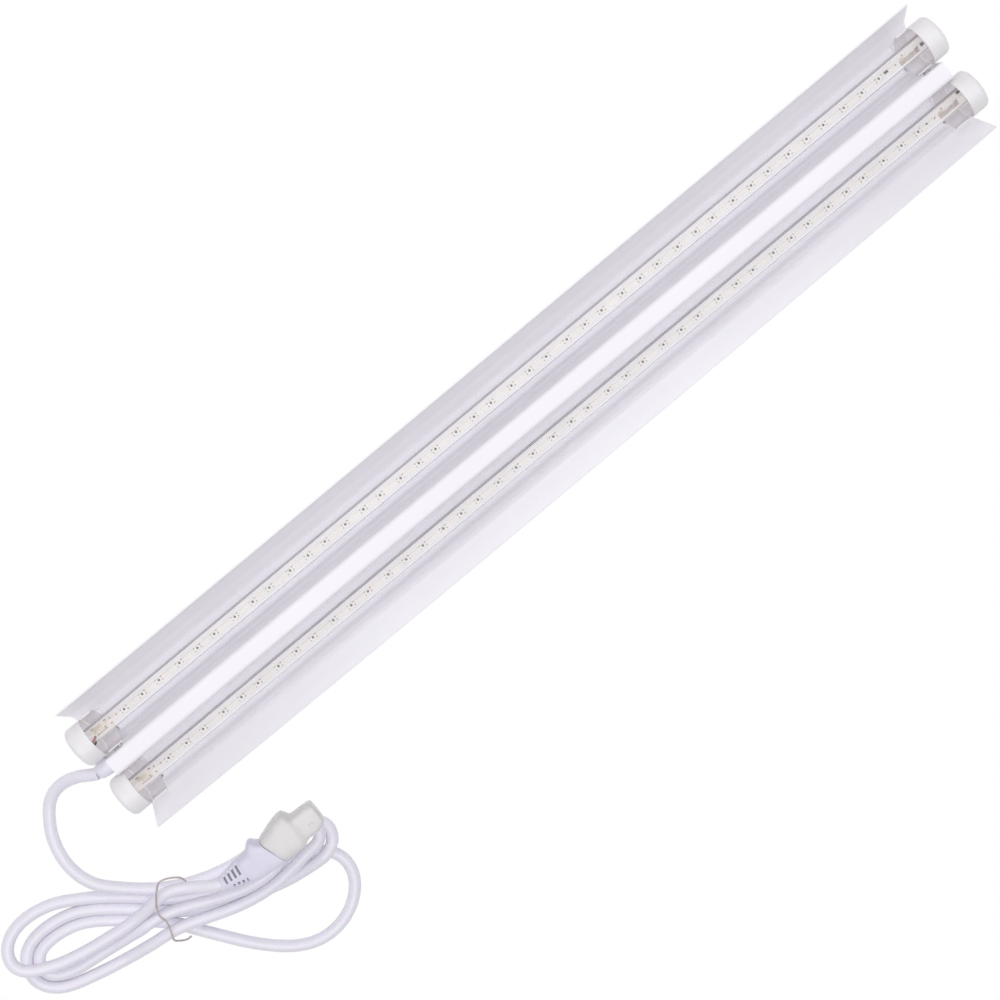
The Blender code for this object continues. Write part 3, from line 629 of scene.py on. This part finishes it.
# ---- rails, boards and LEDs ----
LED_PITCH = 38.76 * MM          # one group of three LEDs
LED_GROUPS = 14
LED_STEPS = (0.0, 0.3257, 0.6287)
LED_SHIFT = -2.9 * MM
LED_SIZE = (3.4 * MM, 2.8 * MM, LED_HEIGHT)
BOARD_IN = -3.75 * MM           # the board's two edges, from the tube's axis
BOARD_OUT = 4.25 * MM
BOARD_THICK = 1.0 * MM


def led_centres():
    """Where the LEDs sit along a board: groups of three, unevenly spaced as on the real board."""
    first = -(LED_GROUPS - 1 + LED_STEPS[-1]) / 2
    return [
        (first + group + step) * LED_PITCH + LED_SHIFT
        for group in range(LED_GROUPS) for step in LED_STEPS
    ]


def rail(number, y):
    """The channel behind a board and its two pale lips; the channel's dark colour is partly painted
    shade along the board's edges.
    """
    half_x = RAIL_BOX[1].x
    base = LED_BASE_Z - BOARD_THICK
    low = RAIL_BOX[0].z
    side_z = base + 0.2 * MM
    outline = [(-4.45 * MM, low), (5.05 * MM, low), (5.05 * MM, side_z), (BOARD_OUT + 0.1 * MM, side_z),
               (BOARD_OUT + 0.1 * MM, base - 0.05 * MM), (BOARD_IN - 0.1 * MM, base - 0.05 * MM),
               (BOARD_IN - 0.1 * MM, side_z), (-4.45 * MM, side_z)]
    obj = prism(f"rail_{number}", outline, -half_x, half_x, RAIL_AND_SHADE, y)
    place(applied(bevel(obj, 0.12 * MM, 1)), "rail_aluminium", f"led_rail_{number}")
    for name, y0, y1 in (("inner", -3.70, -2.45), ("outer", 3.25, 4.20)):
        top = LED_BASE_Z + 0.35 * MM
        lip = [(y0 * MM, LED_BASE_Z), (y1 * MM, LED_BASE_Z), (y1 * MM, top - 0.1 * MM), (y0 * MM, top)]
        strip = prism(f"rail_lip_{name}_{number}", lip, -half_x + 20 * MM, half_x - 20 * MM, RAIL_LIP, y)
        place(applied(bevel(strip, 0.08 * MM, 1)), "rail_aluminium")


def board(number, y):
    half_x = BOARD_BOX[1].x
    low = LED_BASE_Z - BOARD_THICK
    outline = [(BOARD_IN, low), (BOARD_OUT, low), (BOARD_OUT, LED_BASE_Z), (BOARD_IN, LED_BASE_Z)]
    obj = prism(f"board_{number}", outline, -half_x, half_x, BOARD, y)
    place(applied(bevel(obj, 0.12 * MM, 2)), "board_cream", f"led_board_{number}")


def leds(number, y):
    """The LED packages, their round windows and the four solder joints of each."""
    bodies, windows, joints = bmesh.new(), bmesh.new(), bmesh.new()
    middle = y + 0.2 * MM
    for x in led_centres():
        add_chip(bodies, (x, middle, LED_BASE_Z), LED_SIZE, 0.12 * MM)
        add_disc(windows, (x, middle + 0.15 * MM, LED_BASE_Z + LED_HEIGHT), 0.72 * MM, 0.06 * MM)
        for s in (-1, 1):
            for t in (-0.95, 0.95):
                add_chip(joints, (x + s * 1.95 * MM, middle + t * MM, LED_BASE_Z),
                         (0.55 * MM, 0.75 * MM, 0.28 * MM), 0.1 * MM)
    for name, bm, mat in (("led_bodies", bodies, LED_BODY), ("led_windows", windows, LED_WINDOW),
                          ("led_joints", joints, SOLDER)):
        place(mesh_object(f"{name}_{number}", bm, mat), "board_cream")


def add_parts(bm, y, parts, height, chamfer, lift=0.0):
    """Small blocks on a board: X, distance from the tube's axis, length and width of each, in mm."""
    for x, away, length, width in parts:
        foot = (x * MM, y + away * MM, LED_BASE_Z + lift * MM)
        add_chip(bm, foot, (length * MM, width * MM, height * MM), chamfer * MM)


END_LAMINATE = ((-285.0, 1.0, 6.4, 3.6), (-279.6, 0.6, 2.2, 2.6), (277.2, 0.6, 3.0, 1.5))
END_TRACKS = ((-283.6, -1.6, 7.2, 0.8), (281.8, -1.2, 13.0, 2.6), (287.4, 0.0, 2.4, 1.2))
END_JOINTS = (
    (-279.0, 2.6, 1.6, 0.8), (-281.0, -0.6, 1.0, 1.2), (-277.0, -1.2, 1.2, 0.9),
    (-276.2, 1.9, 1.0, 0.9), (-287.4, 2.9, 1.8, 0.5), (-272.1, 0.9, 0.9, 0.7),
    (272.9, 0.2, 1.2, 0.8), (278.8, 2.0, 1.0, 0.7), (286.5, -1.4, 1.2, 1.0),
)
# the height of the small black part of each board, and where it and the tall one lie
END_CHIPS = {
    1: (0.6, (266.6, 0.5, 2.3, 1.3), (291.0, -0.2, 2.0, 1.7)),
    2: (0.5, (267.6, 0.6, 1.1, 0.8), (291.2, 3.2, 2.0, 1.4)),
}


def board_end_parts(number, y):
    """What sits on a board past its last LEDs: bare patches, tracks, black parts and joints."""
    laminate, tracks, chips, joints = bmesh.new(), bmesh.new(), bmesh.new(), bmesh.new()
    small_height, small, tall = END_CHIPS[number]
    add_parts(laminate, y, END_LAMINATE, 0.10, 0.03)
    add_parts(tracks, y, END_TRACKS, 0.10, 0.03)
    add_parts(chips, y, (small,), small_height, 0.1)
    add_parts(chips, y, (tall,), 1.2, 0.25)
    add_parts(joints, y, END_JOINTS, 0.35, 0.1, lift=0.08)
    for name, bm, mat in (("end_laminate", laminate, TAN_PATCH), ("end_tracks", tracks, BROWN_PATCH),
                          ("end_chips", chips, CHIP_BLACK), ("end_joints", joints, SOLDER)):
        place(mesh_object(f"{name}_{number}", bm, mat), "board_cream")


FEED_STEP = 0.4 * MM
FEED_R = 0.65 * MM


def feed_tails(number, y):
    """The ends of the two wires that come through the near cap; the black one stops beside the board."""
    z = LED_BASE_Z * 1000
    for label, t, mat, slot in (("red", -2.3, RED, "feed_red"), ("black", -3.9, BLACK, "part_black")):
        away = y * 1000 + t
        route = [at(-293.6, away - 0.8, z + 0.6), at(-291.6, away - 0.3, z + 1.5),
                 at(-289.6, away + 0.5, z + 1.0)]
        if label == "red":
            route.append(at(-288.2, away + 1.3, z + 0.5))
        tail = wire(f"feed_tail_{label}_{number}", smooth_route(route, FEED_STEP), FEED_R, mat)
        place(tail, slot)


# ---- ridge ends and cable gland ----
def ridge_end(label, side):
    """The moulded plug that closes one end of the ridge."""
    low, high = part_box(f"ridge_plug_{label}")
    half, r = high.y, 2.3 * MM
    outline = rounded([(-half, low.z), (half, low.z), (half, high.z), (-half, high.z)],
                      [0.8 * MM, 0.8 * MM, r, r], closed=True)
    obj = prism(f"ridge_end_{label}", outline, low.x, high.x, RIDGE_PLUG)
    if side < 0:
        hole = lathe("gland_hole", [(0.27, 0), (0.27, 4.0 * MM), (0.31, 4.0 * MM), (0.31, 0)], None,
                     (0, GLAND_Y, GLAND_Z), sides=48, side=-1)
        cut(obj, [hole])
    place(applied(bevel(obj, 0.35 * MM, 3)), "cap_white", f"ridge_plug_{label}")


# the sleeve from the ridge's end to near its tip: distance along -X and radius, in mm
GLAND_PROFILE = ((292.1, 3.7), (292.2, 4.9), (292.6, 5.2), (293.6, 5.15), (296.0, 4.95), (298.6, 4.62))


def gland():
    """The tapered sleeve round the lead where it leaves the ridge."""
    root_x, tip_x = -GLAND_BOX[1].x, -GLAND_BOX[0].x
    profile = [(root_x, 0), (root_x, 3.7 * MM)]
    profile += [(along * MM, radius * MM) for along, radius in GLAND_PROFILE]
    profile += [(tip_x - 0.9 * MM, 4.2 * MM), (tip_x - 0.2 * MM, 3.75 * MM), (tip_x, 3.56 * MM)]
    profile.append((tip_x, 0))
    obj = lathe("lead_sleeve", profile, CORD, (0, GLAND_Y, GLAND_Z), sides=64, side=-1)
    place(obj, "cord_white", "cable_gland")


# ---- mains lead ----
FLOOR = 3.6                     # height in mm of a strand's middle on the floor, and of the layers
LAYER = 10.6
LEAD_ROUTE = [
    # out of the gland, down, and round to the tie on top of the bundle
    (-301.0, 0.4, 18.2), (-303.0, 1.2, 17.7), (-306.5, 3.0, 16.4), (-311.0, 5.2, 14.0),
    (-318.5, 6.9, 9.6), (-327.0, 6.4, 5.8), (-334.5, 3.0, 4.0), (-341.0, -4.5, FLOOR),
    (-347.0, -14.0, FLOOR),
    (-350.5, -26.0, 4.6), (-350.0, -37.0, 7.5), (-346.0, -47.5, 10.4), (-339.0, -56.0, LAYER),
    (-331.0, -64.5, 10.4), (-322.5, -72.2, 10.0),
    # under the plug and round the small loop at its tip
    (-314.0, -78.6, 8.6), (-303.0, -85.0, 6.4), (-291.0, -89.6, 4.6), (-279.0, -92.4, FLOOR),
    (-267.0, -92.6, 4.2), (-256.0, -92.2, 6.4), (-247.0, -92.0, 8.8), (-241.0, -92.2, 10.0),
    (-236.8, -93.2, 10.6), (-233.6, -96.0, 10.8), (-232.2, -100.1, 10.9), (-232.4, -104.4, 10.9),
    (-234.2, -108.3, 10.8), (-237.2, -111.0, 10.7), (-241.0, -112.0, 10.6),
    # back over the bundle to the tie
    (-246.0, -111.2, LAYER), (-253.5, -112.4, LAYER), (-263.0, -113.4, LAYER), (-274.0, -113.4, LAYER),
    (-283.0, -112.4, LAYER), (-292.0, -110.6, LAYER), (-302.0, -107.4, LAYER),
    (-313.5, -102.8, LAYER), (-330.0, -96.8, LAYER),
    # outer loop at the left
    (-345.0, -95.6, 8.4), (-359.0, -94.3, 4.6), (-371.0, -92.0, FLOOR), (-384.0, -88.6, FLOOR),
    (-397.0, -84.4, FLOOR), (-405.4, -77.8, FLOOR), (-408.4, -68.2, FLOOR), (-404.8, -59.2, FLOOR),
    (-398.6, -52.6, FLOOR), (-388.5, -50.6, FLOOR), (-377.5, -51.0, FLOOR), (-366.5, -54.2, FLOOR),
    (-356.5, -60.0, FLOOR), (-347.5, -67.6, FLOOR), (-338.5, -77.0, FLOOR), (-329.5, -86.8, FLOOR),
    # through the bundle and round beside the plug's tip again
    (-319.0, -95.5, FLOOR), (-305.0, -104.0, FLOOR), (-291.0, -110.8, FLOOR), (-277.0, -115.6, FLOOR),
    (-264.0, -118.8, 5.0), (-252.5, -119.6, 7.4), (-245.0, -119.8, 9.8), (-239.6, -119.5, 10.6),
    (-234.8, -118.2, 10.4), (-231.0, -115.3, 9.4), (-228.9, -111.2, 7.4), (-229.0, -106.8, 5.2),
    (-231.2, -103.1, 4.0), (-235.2, -100.7, FLOOR), (-240.0, -100.4, FLOOR), (-246.0, -101.6, 3.8),
    (-252.0, -103.2, 5.0), (-257.5, -104.9, 7.2), (-263.5, -106.4, 9.4), (-270.0, -107.2, 10.4),
    (-277.0, -106.8, LAYER), (-285.0, -105.2, LAYER), (-293.5, -102.2, LAYER), (-302.0, -98.4, LAYER),
    (-311.0, -93.8, LAYER), (-320.0, -89.6, LAYER), (-328.5, -86.0, 10.8),
    # inner loop at the left
    (-338.0, -84.2, LAYER), (-347.0, -84.2, 8.4), (-360.0, -83.6, 4.6), (-373.0, -81.8, FLOOR),
    (-386.0, -80.2, FLOOR), (-393.6, -77.6, FLOOR), (-398.8, -75.2, FLOOR), (-401.6, -70.4, FLOOR),
    (-401.6, -64.8, FLOOR), (-398.6, -60.0, FLOOR), (-393.0, -57.4, FLOOR), (-386.0, -57.0, FLOOR),
    (-375.0, -58.6, FLOOR), (-364.0, -62.4, FLOOR), (-354.5, -68.6, FLOOR), (-346.0, -76.0, FLOOR),
    (-337.5, -84.6, FLOOR), (-330.0, -94.0, FLOOR),
    # large loop at the right
    (-323.0, -106.4, FLOOR), (-315.0, -119.0, FLOOR), (-306.4, -132.0, FLOOR), (-296.8, -143.6, FLOOR),
    (-288.8, -151.0, FLOOR), (-278.6, -156.8, FLOOR), (-268.0, -158.6, FLOOR), (-256.6, -156.8, FLOOR),
    (-246.8, -151.8, FLOOR), (-239.4, -144.6, FLOOR), (-235.6, -136.6, FLOOR), (-235.2, -128.0, FLOOR),
    (-239.6, -119.8, FLOOR), (-249.0, -113.4, FLOOR), (-261.0, -110.4, FLOOR),
    (-274.0, -108.6, FLOOR), (-288.0, -104.4, FLOOR), (-302.0, -97.2, FLOOR), (-315.0, -88.6, FLOOR),
    (-327.0, -79.8, FLOOR),
    # upper loop at the left, and back on top of everything to the plug
    (-337.5, -70.8, FLOOR), (-347.8, -61.2, FLOOR), (-357.2, -52.4, FLOOR), (-367.0, -44.8, FLOOR),
    (-378.0, -40.4, FLOOR), (-389.6, -38.8, FLOOR), (-398.6, -40.0, 4.2), (-404.8, -43.0, 5.2),
    (-408.9, -47.4, 6.8), (-410.6, -52.8, 8.8), (-409.0, -58.2, 10.2), (-405.0, -62.2, 10.7),
    (-399.4, -65.2, 10.8), (-390.2, -69.8, 10.2),
    (-376.0, -73.8, 9.4), (-360.0, -76.4, 9.6), (-345.0, -78.2, 10.4), (-333.0, -77.4, 13.2),
    (-322.0, -74.6, 17.4), (-313.4, -76.6, 18.2), (-304.5, -82.6, 19.6), (-298.0, -86.6, 21.8),
    (-293.2, -89.2, 23.2), (-288.0, -90.4, 23.7),
]
ROUTE_STEP = 2.0 * MM
TOUCH = 2 * CORD_R              # distance between the middles of two strands that touch
NEIGHBOUR = 14                  # steps of the route that are too near along it to push apart
PUSH = 0.40                     # how strongly touching strands part in one round
STIFF = 0.16                    # how strongly a bend evens out, and the same over a longer stretch
STIFF_WIDE = 0.012
HOLD = 0.06                     # how strongly the lead keeps to its route
SINK = 0.02 * MM                # how far its weight takes it down in one round
HELD_START = 6                  # points that stay where they are, at the gland and at the plug
HELD_END = 8


def settle(line, rounds=90):
    """Lets the strands press apart and rest on the floor, and smooths the lead's bends."""
    home = line.copy()
    index = np.arange(len(line))
    apart = np.abs(index[:, None] - index[None, :]) > NEIGHBOUR
    pinned = (index < HELD_START) | (index >= len(line) - HELD_END)
    for _ in range(rounds):
        gap = line[:, None, :] - line[None, :, :]
        distance = np.linalg.norm(gap, axis=2) + 1e-9
        close = apart & (distance < TOUCH)
        push = np.where(close, (TOUCH - distance) / distance, 0.0)[:, :, None] * gap
        count = np.maximum(close.sum(axis=1), 1)[:, None]
        move = PUSH * push.sum(axis=1) / count ** 0.5
        smooth = np.zeros_like(line)
        smooth[1:-1] = (line[:-2] + line[2:]) / 2 - line[1:-1]
        wide = np.zeros_like(line)
        wide[3:-3] = (line[:-6] + line[6:]) / 2 - line[3:-3]
        pull = HOLD * (home - line)
        line = line + np.where(pinned[:, None], 0.0, move + STIFF * smooth + STIFF_WIDE * wide + pull)
        line[:, 2] = np.maximum(line[:, 2] - np.where(pinned, 0.0, SINK), CORD_R)
    for _ in range(3):
        middle = (line[:-2] + 2 * line[1:-1] + line[2:]) / 4
        line[HELD_START:-HELD_END] = middle[HELD_START - 1:1 - HELD_END]
    return line


def mains_lead():
    """The whole lead, which stands for its three CAD stretches."""
    line = settle(smooth_route([at(*p) for p in LEAD_ROUTE], ROUTE_STEP))
    lead = wire("mains_lead", line, CORD_R, CORD, resolution=8)
    return place(lead, "cord_white", "cord_lead", "cord_hank", "cord_plug_lead")


# ---- twist tie ----
TIE_ROUTE = [
    (-305.4, -76.6, 20.2), (-305.8, -72.8, 22.4), (-308.0, -70.0, 23.6), (-312.2, -67.4, 23.8),
    (-316.4, -67.0, 23.2), (-320.6, -70.2, 22.2), (-324.4, -74.2, 20.4), (-327.6, -78.4, 17.8),
    (-330.0, -83.8, 15.8), (-329.6, -88.4, 15.2), (-330.4, -92.0, 15.0), (-332.4, -96.6, 14.9),
    (-334.4, -101.0, 11.0), (-333.4, -104.6, 6.6), (-331.0, -107.4, 3.6), (-328.2, -108.2, 1.8),
]
TIE_R = 0.55 * MM


def twist_tie():
    route = smooth_route([at(*p) for p in TIE_ROUTE], 0.8 * MM)
    return place(wire("tie_strand", route, TIE_R, TIE, resolution=4), "tie_wire", "twist_tie")


# ---- plug ----
PLUG_TURN = -3.0                # degrees about Z
PLUG_POS = at(-260.0, -91.9, 23.7)
PLUG_PLACE = Matrix.Translation(PLUG_POS) @ Matrix.Rotation(radians(PLUG_TURN), 4, "Z")
BODY_SKEW = -0.32               # the joint between the body and its cover slants across the plug
# sections along the plug: x, y of the low side, y of the high side, half height, squareness
RELIEF_SECTIONS = [
    (-31.2, -3.7, 3.7, 3.7, 2.0), (-31.0, -4.2, 4.2, 4.2, 2.0), (-30.0, -4.5, 4.5, 4.4, 2.0),
    (-26.0, -5.7, 5.1, 4.9, 2.2), (-22.0, -6.9, 5.9, 5.4, 2.5), (-18.7, -7.9, 6.6, 5.9, 2.8),
    (-16.4, -8.2, 6.4, 6.0, 3.0),
]
BODY_SECTIONS = [
    (-17.3, -7.6, 5.7, 5.6, 3.0), (-16.9, -8.4, 6.3, 6.3, 3.4), (-15.6, -9.1, 6.3, 6.6, 4.0),
    (-13.0, -9.6, 6.5, 6.9, 4.4), (-10.0, -10.0, 7.4, 7.2, 4.4), (-8.0, -10.3, 9.3, 7.4, 4.2),
    (-6.0, -10.4, 10.6, 7.5, 4.2), (-4.4, -10.5, 10.6, 7.6, 4.2), (-3.0, -10.5, 8.8, 7.7, 4.4),
    (-1.0, -10.4, 7.2, 7.8, 4.6), (0.6, -10.3, 7.0, 7.9, 4.6), (1.4, -10.1, 6.8, 7.8, 4.6),
    (1.7, -9.7, 6.4, 7.4, 4.6),
]
COVER_SECTIONS = [
    (2.1, -9.5, 7.1, 7.9, 4.0), (2.4, -10.0, 7.6, 8.4, 4.0), (7.0, -10.4, 9.6, 8.9, 4.0),
    (12.0, -10.5, 11.8, 9.0, 4.0), (15.5, -10.4, 12.7, 9.0, 4.0), (17.8, -10.2, 12.7, 8.9, 4.0),
    (19.3, -9.4, 10.9, 8.5, 4.0), (20.8, -8.5, 8.2, 7.8, 4.2), (22.6, -7.9, 7.9, 7.2, 4.6),
    (28.6, -7.9, 7.9, 7.0, 4.8), (31.0, -7.0, 7.8, 6.9, 4.8), (33.4, -6.0, 7.6, 6.8, 4.6),
    (34.2, -5.4, 7.2, 6.5, 4.4), (34.6, -4.6, 6.4, 5.7, 4.2),
]
FACE_SECTIONS = [
    (2.4, -8.6, 6.0, 6.6, 5.0), (2.8, -8.9, 6.3, 7.0, 5.0), (5.0, -9.0, 7.2, 7.0, 5.0),
    (7.7, -9.0, 8.0, 7.0, 5.0), (8.0, -8.7, 7.7, 6.7, 5.0),
]
COVER_WALL = 0.7                # the rest of the plug's sizes are in mm too
COVER_SQUARE_X = 14.0           # the cover's mouth slants less and less up to here
COVER_TIP_X = 30.0              # past here the wall's thickness counts along the plug too
DIMPLE = (28.4, -1.8, 9.7)
DIMPLE_R = 3.2
SLOT_SHADE_INSET = 1.1                # how far the dark core that paints the slots' shade lies under the relief's surface
SLOTS = 4
SLOT_X = -27.4
SLOT_PITCH = 2.95
SLOT_SLANT = -7                 # degrees
RING_POINTS = 56


def section_ring(bm, section, skew):
    """One ring of a loft: a rounded rectangle with its own squareness."""
    x, low, high, half_z, power = section
    ring = []
    for i in range(RING_POINTS):
        a = 2 * pi * i / RING_POINTS
        u = abs(cos(a)) ** (2 / power) * (1 if cos(a) >= 0 else -1)
        v = abs(sin(a)) ** (2 / power) * (1 if sin(a) >= 0 else -1)
        y = (low + high) / 2 + u * (high - low) / 2
        ring.append(bm.verts.new(at(x + skew * y, y, v * half_z)))
    return ring


def between(sections, parts=4):
    """More sections on a smooth curve through the given ones."""
    rows = np.array(sections, float)
    ends = [2 * rows[0] - rows[1]] + list(rows) + [2 * rows[-1] - rows[-2]]
    out = []
    for a, b, c, d in zip(ends, ends[1:], ends[2:], ends[3:]):
        for i in range(parts):
            t = i / parts
            slope_b, slope_c = (c - a) / 2, (d - b) / 2
            limit = np.abs(c - b) * 1.5
            slope_b = np.clip(slope_b, -limit, limit)
            slope_c = np.clip(slope_c, -limit, limit)
            out.append((2 * t ** 3 - 3 * t ** 2 + 1) * b + (t ** 3 - 2 * t ** 2 + t) * slope_b
                       + (3 * t ** 2 - 2 * t ** 3) * c + (t ** 3 - t ** 2) * slope_c)
    return out + [rows[-1]]


def add_loft(bm, sections, skews):
    rings = [section_ring(bm, s, k) for s, k in zip(sections, skews)]
    for a, b in zip(rings, rings[1:]):
        bridge(bm, a, b)
    return rings


def slants(rows, square_x, slanted_x):
    """How much each section slants: not at all at square_x, and fully at slanted_x."""
    return [BODY_SKEW * min(1, max(0, (r[0] - square_x) / (slanted_x - square_x))) for r in rows]


def loft(name, sections, mat, skew_from=None):
    """A closed solid through the sections; past skew_from they slant more and more."""
    rows = between(sections)
    skews = [0.0] * len(rows)
    if skew_from is not None:
        skews = slants(rows, skew_from, sections[-1][0])
    bm = bmesh.new()
    rings = add_loft(bm, rows, skews)
    bm.faces.new(rings[0])
    bm.faces.new(rings[-1])
    bmesh.ops.recalc_face_normals(bm, faces=bm.faces)
    obj = mesh_object(name, bm, mat)
    obj.data.transform(PLUG_PLACE)
    return obj


def slot_cutter(name, centre, size, turn):
    """A small slanted slot of the strain relief, in the plug's own frame."""
    bm = bmesh.new()
    bmesh.ops.create_cube(bm, size=1.0)
    bmesh.ops.scale(bm, vec=[v * MM for v in size], verts=bm.verts)
    bmesh.ops.bevel(bm, geom=bm.edges[:], offset=0.25 * MM, segments=2, affect="EDGES", profile=0.5)
    obj = mesh_object(name, bm, None)
    obj.data.transform(PLUG_PLACE @ Matrix.Translation(at(*centre)) @ turn)
    return obj


def plug_relief():
    """The tapered strain relief, with rows of slots over a dark core that paints the shade inside them.
    """
    obj = loft("relief_sleeve", RELIEF_SECTIONS, PLUG)
    slot_shade_sections = [
        (x + (0.6 if i == 0 else 0.0), low + SLOT_SHADE_INSET, high - SLOT_SHADE_INSET, half - SLOT_SHADE_INSET, power)
        for i, (x, low, high, half, power) in enumerate(RELIEF_SECTIONS)
    ]
    # the dark core is painted shade, seen through the slots
    slot_shade = loft("relief_slot_shade", slot_shade_sections, SLOT_SHADE_MAT)
    slant = Matrix.Rotation(radians(SLOT_SLANT), 4, "Z")
    cutters = []
    for i in range(SLOTS):
        x = SLOT_X + SLOT_PITCH * i
        high = 4.8 + 0.36 * i
        for label, z in (("top", high), ("under", -high)):
            centre = (x, 2.6 + 0.2 * i, z)
            cutters.append(slot_cutter(f"slot_{label}_{i}", centre, (1.4, 6.2 + 0.4 * i, 5.6), slant))
            centre = (x + 2.0 - 0.3 * i, -4.9 - 0.45 * i, z - (0.9 if z > 0 else -0.9))
            cutters.append(slot_cutter(f"slot_low_{label}_{i}", centre, (1.3, 4.4, 5.8), slant))
    cut(obj, cutters)
    place(slot_shade, "plug_white")
    return place(obj, "plug_white", "plug_strain_relief", sharp=40), slot_shade


def plug_body():
    obj = loft("plug_shell", BODY_SECTIONS, PLUG, skew_from=-2.0)
    return place(obj, "plug_white", "plug_body", sharp=50)


def plug_face():
    """The block inside the cover that the prongs stand in."""
    return place(loft("face_block", FACE_SECTIONS, PLUG), "plug_white", "plug_face", sharp=50)


def plug_cover():
    """The translucent cover over the prongs: a thin shell, open at the plug's side."""
    outer = between(COVER_SECTIONS)
    wall = COVER_WALL
    inner = between([
        (x - (wall if x > COVER_TIP_X else 0), low + wall, high - wall, half - wall, power)
        for x, low, high, half, power in COVER_SECTIONS
    ])
    mouth_x = COVER_SECTIONS[0][0]
    bm = bmesh.new()
    outside = add_loft(bm, outer, slants(outer, COVER_SQUARE_X, mouth_x))
    inside = add_loft(bm, inner, slants(inner, COVER_SQUARE_X, mouth_x))
    bridge(bm, outside[0], inside[0])
    bm.faces.new(outside[-1])
    bm.faces.new(inside[-1])
    bmesh.ops.recalc_face_normals(bm, faces=bm.faces)
    obj = mesh_object("cover_shell", bm, COVER)
    dimple = bmesh.new()
    bmesh.ops.create_uvsphere(dimple, u_segments=32, v_segments=24, radius=DIMPLE_R * MM)
    bmesh.ops.translate(dimple, vec=at(*DIMPLE), verts=dimple.verts)
    cut(obj, [mesh_object("dimple", dimple, None)])
    obj.data.transform(PLUG_PLACE)
    return place(obj, "cover_translucent", "prong_cover", body="cover", sharp=50)


# ---- camera, light and floor ----
CAMERA_TARGET = at(-39.8, -25.2, 22.0)
CAMERA_AZIMUTH = 178.94         # degrees; 0 looks along +Y
CAMERA_ELEVATION = 77.27
CAMERA_DISTANCE = 1.1829
CAMERA_ROLL = 141.168
CAMERA_LENS = 78.79             # mm on a 36 mm sensor


def camera():
    data = bpy.data.cameras.new("camera")
    data.lens = CAMERA_LENS
    data.sensor_width = 36.0
    data.clip_start = 0.05
    data.clip_end = 20.0
    az, el = radians(CAMERA_AZIMUTH), radians(CAMERA_ELEVATION)
    back = Vector((cos(el) * sin(az), -cos(el) * cos(az), sin(el)))
    obj = bpy.data.objects.new("camera", data)
    obj.location = CAMERA_TARGET + back * CAMERA_DISTANCE
    level = (-back).to_track_quat("-Z", "Y")
    obj.rotation_mode = "QUATERNION"
    obj.rotation_quaternion = level @ Quaternion((0, 0, 1), radians(CAMERA_ROLL))
    bpy.context.scene.collection.objects.link(obj)
    bpy.context.scene.camera = obj


def area_light(name, location, size, power, color, target=(-0.05, -0.02, 0.02)):
    data = bpy.data.lights.new(name, "AREA")
    data.shape = "RECTANGLE"
    data.size, data.size_y = size
    data.energy = power
    data.color = color
    obj = bpy.data.objects.new(name, data)
    obj.location = location
    obj.rotation_euler = (Vector(target) - Vector(location)).to_track_quat("-Z", "Y").to_euler()
    bpy.context.scene.collection.objects.link(obj)


WORLD_LIGHT = 0.43
WHITE = 1.0                     # how bright the backdrop and the floor look to the camera
OVERHEAD_FILL = 1.40


def seen_by_camera(nodes, other, seen, output):
    """Shows one shader to the camera and lights the scene with the other."""
    links = nodes.id_data.links
    path = nodes.new("ShaderNodeLightPath")
    mix = nodes.new("ShaderNodeMixShader")
    links.new(path.outputs["Is Camera Ray"], mix.inputs["Fac"])
    links.new(other, mix.inputs[1])
    links.new(seen, mix.inputs[2])
    links.new(mix.outputs["Shader"], nodes[output].inputs["Surface"])


def world():
    """Even white light, and a pure white backdrop to the camera."""
    scene_world = bpy.data.worlds.new("studio")
    bpy.context.scene.world = scene_world
    scene_world.use_nodes = True
    nodes = scene_world.node_tree.nodes
    light = nodes["Background"]
    light.inputs["Color"].default_value = (0.97, 0.965, 1.0, 1)
    light.inputs["Strength"].default_value = WORLD_LIGHT
    seen = nodes.new("ShaderNodeBackground")
    seen.inputs["Color"].default_value = (1, 1, 1, 1)
    seen.inputs["Strength"].default_value = WHITE
    seen_by_camera(nodes, light.outputs["Background"], seen.outputs["Background"], "World Output")


def floor():
    """A plain pale floor, lit to pure white as the photograph's is."""
    bm = bmesh.new()
    bmesh.ops.create_grid(bm, x_segments=1, y_segments=1, size=4.0)
    mat = bpy.data.materials.new("studio_floor")
    mat.use_nodes = True
    nodes = mat.node_tree.nodes
    shader = nodes["Principled BSDF"]
    shader.inputs["Base Color"].default_value = (0.9, 0.9, 0.9, 1)
    shader.inputs["Roughness"].default_value = 0.9
    glow = nodes.new("ShaderNodeEmission")
    glow.inputs["Strength"].default_value = WHITE
    seen_by_camera(nodes, shader.outputs["BSDF"], glow.outputs["Emission"], "Material Output")
    obj = mesh_object("floor", bm, mat)
    obj.location.z = -0.05 * MM


def overhead_fill():
    """An even fill from straight above that casts no shadow, so the deep troughs stay bright."""
    data = bpy.data.lights.new("overhead_fill", "SUN")
    data.energy = OVERHEAD_FILL
    data.angle = radians(60)
    data.use_shadow = False
    data.color = (0.985, 0.98, 1.0)
    obj = bpy.data.objects.new("overhead_fill", data)
    obj.location = (0, 0, 2)
    bpy.context.scene.collection.objects.link(obj)


def studio():
    world()
    floor()
    area_light("key", (0.1, 1.5, 1.4), (1.6, 1.0), 7.0, (1.0, 0.985, 0.99))
    overhead_fill()
    scene = bpy.context.scene
    scene.view_settings.view_transform = "Standard"
    scene.cycles.transparent_max_bounces = 24


def build():
    camera()
    studio()
    finish_cad_nodes()
    reflector()
    for side in (-1, 1):
        tray_seam(side)
    for number, y in ROWS:
        tube(number, y)
        rail(number, y)
        board(number, y)
        leds(number, y)
        board_end_parts(number, y)
        if number == 1:         # the photo shows feed wires in this tube only
            feed_tails(number, y)
        for label, side in ENDS:
            end_cap(number, y, label, side)
            cradle(number, y, label, side)
    for label, side in ENDS:
        ridge_end(label, side)
    gland()
    tie = twist_tie()
    (relief, slot_shade), body, face, cover = plug_relief(), plug_body(), plug_face(), plug_cover()
    lead = mains_lead()


build()
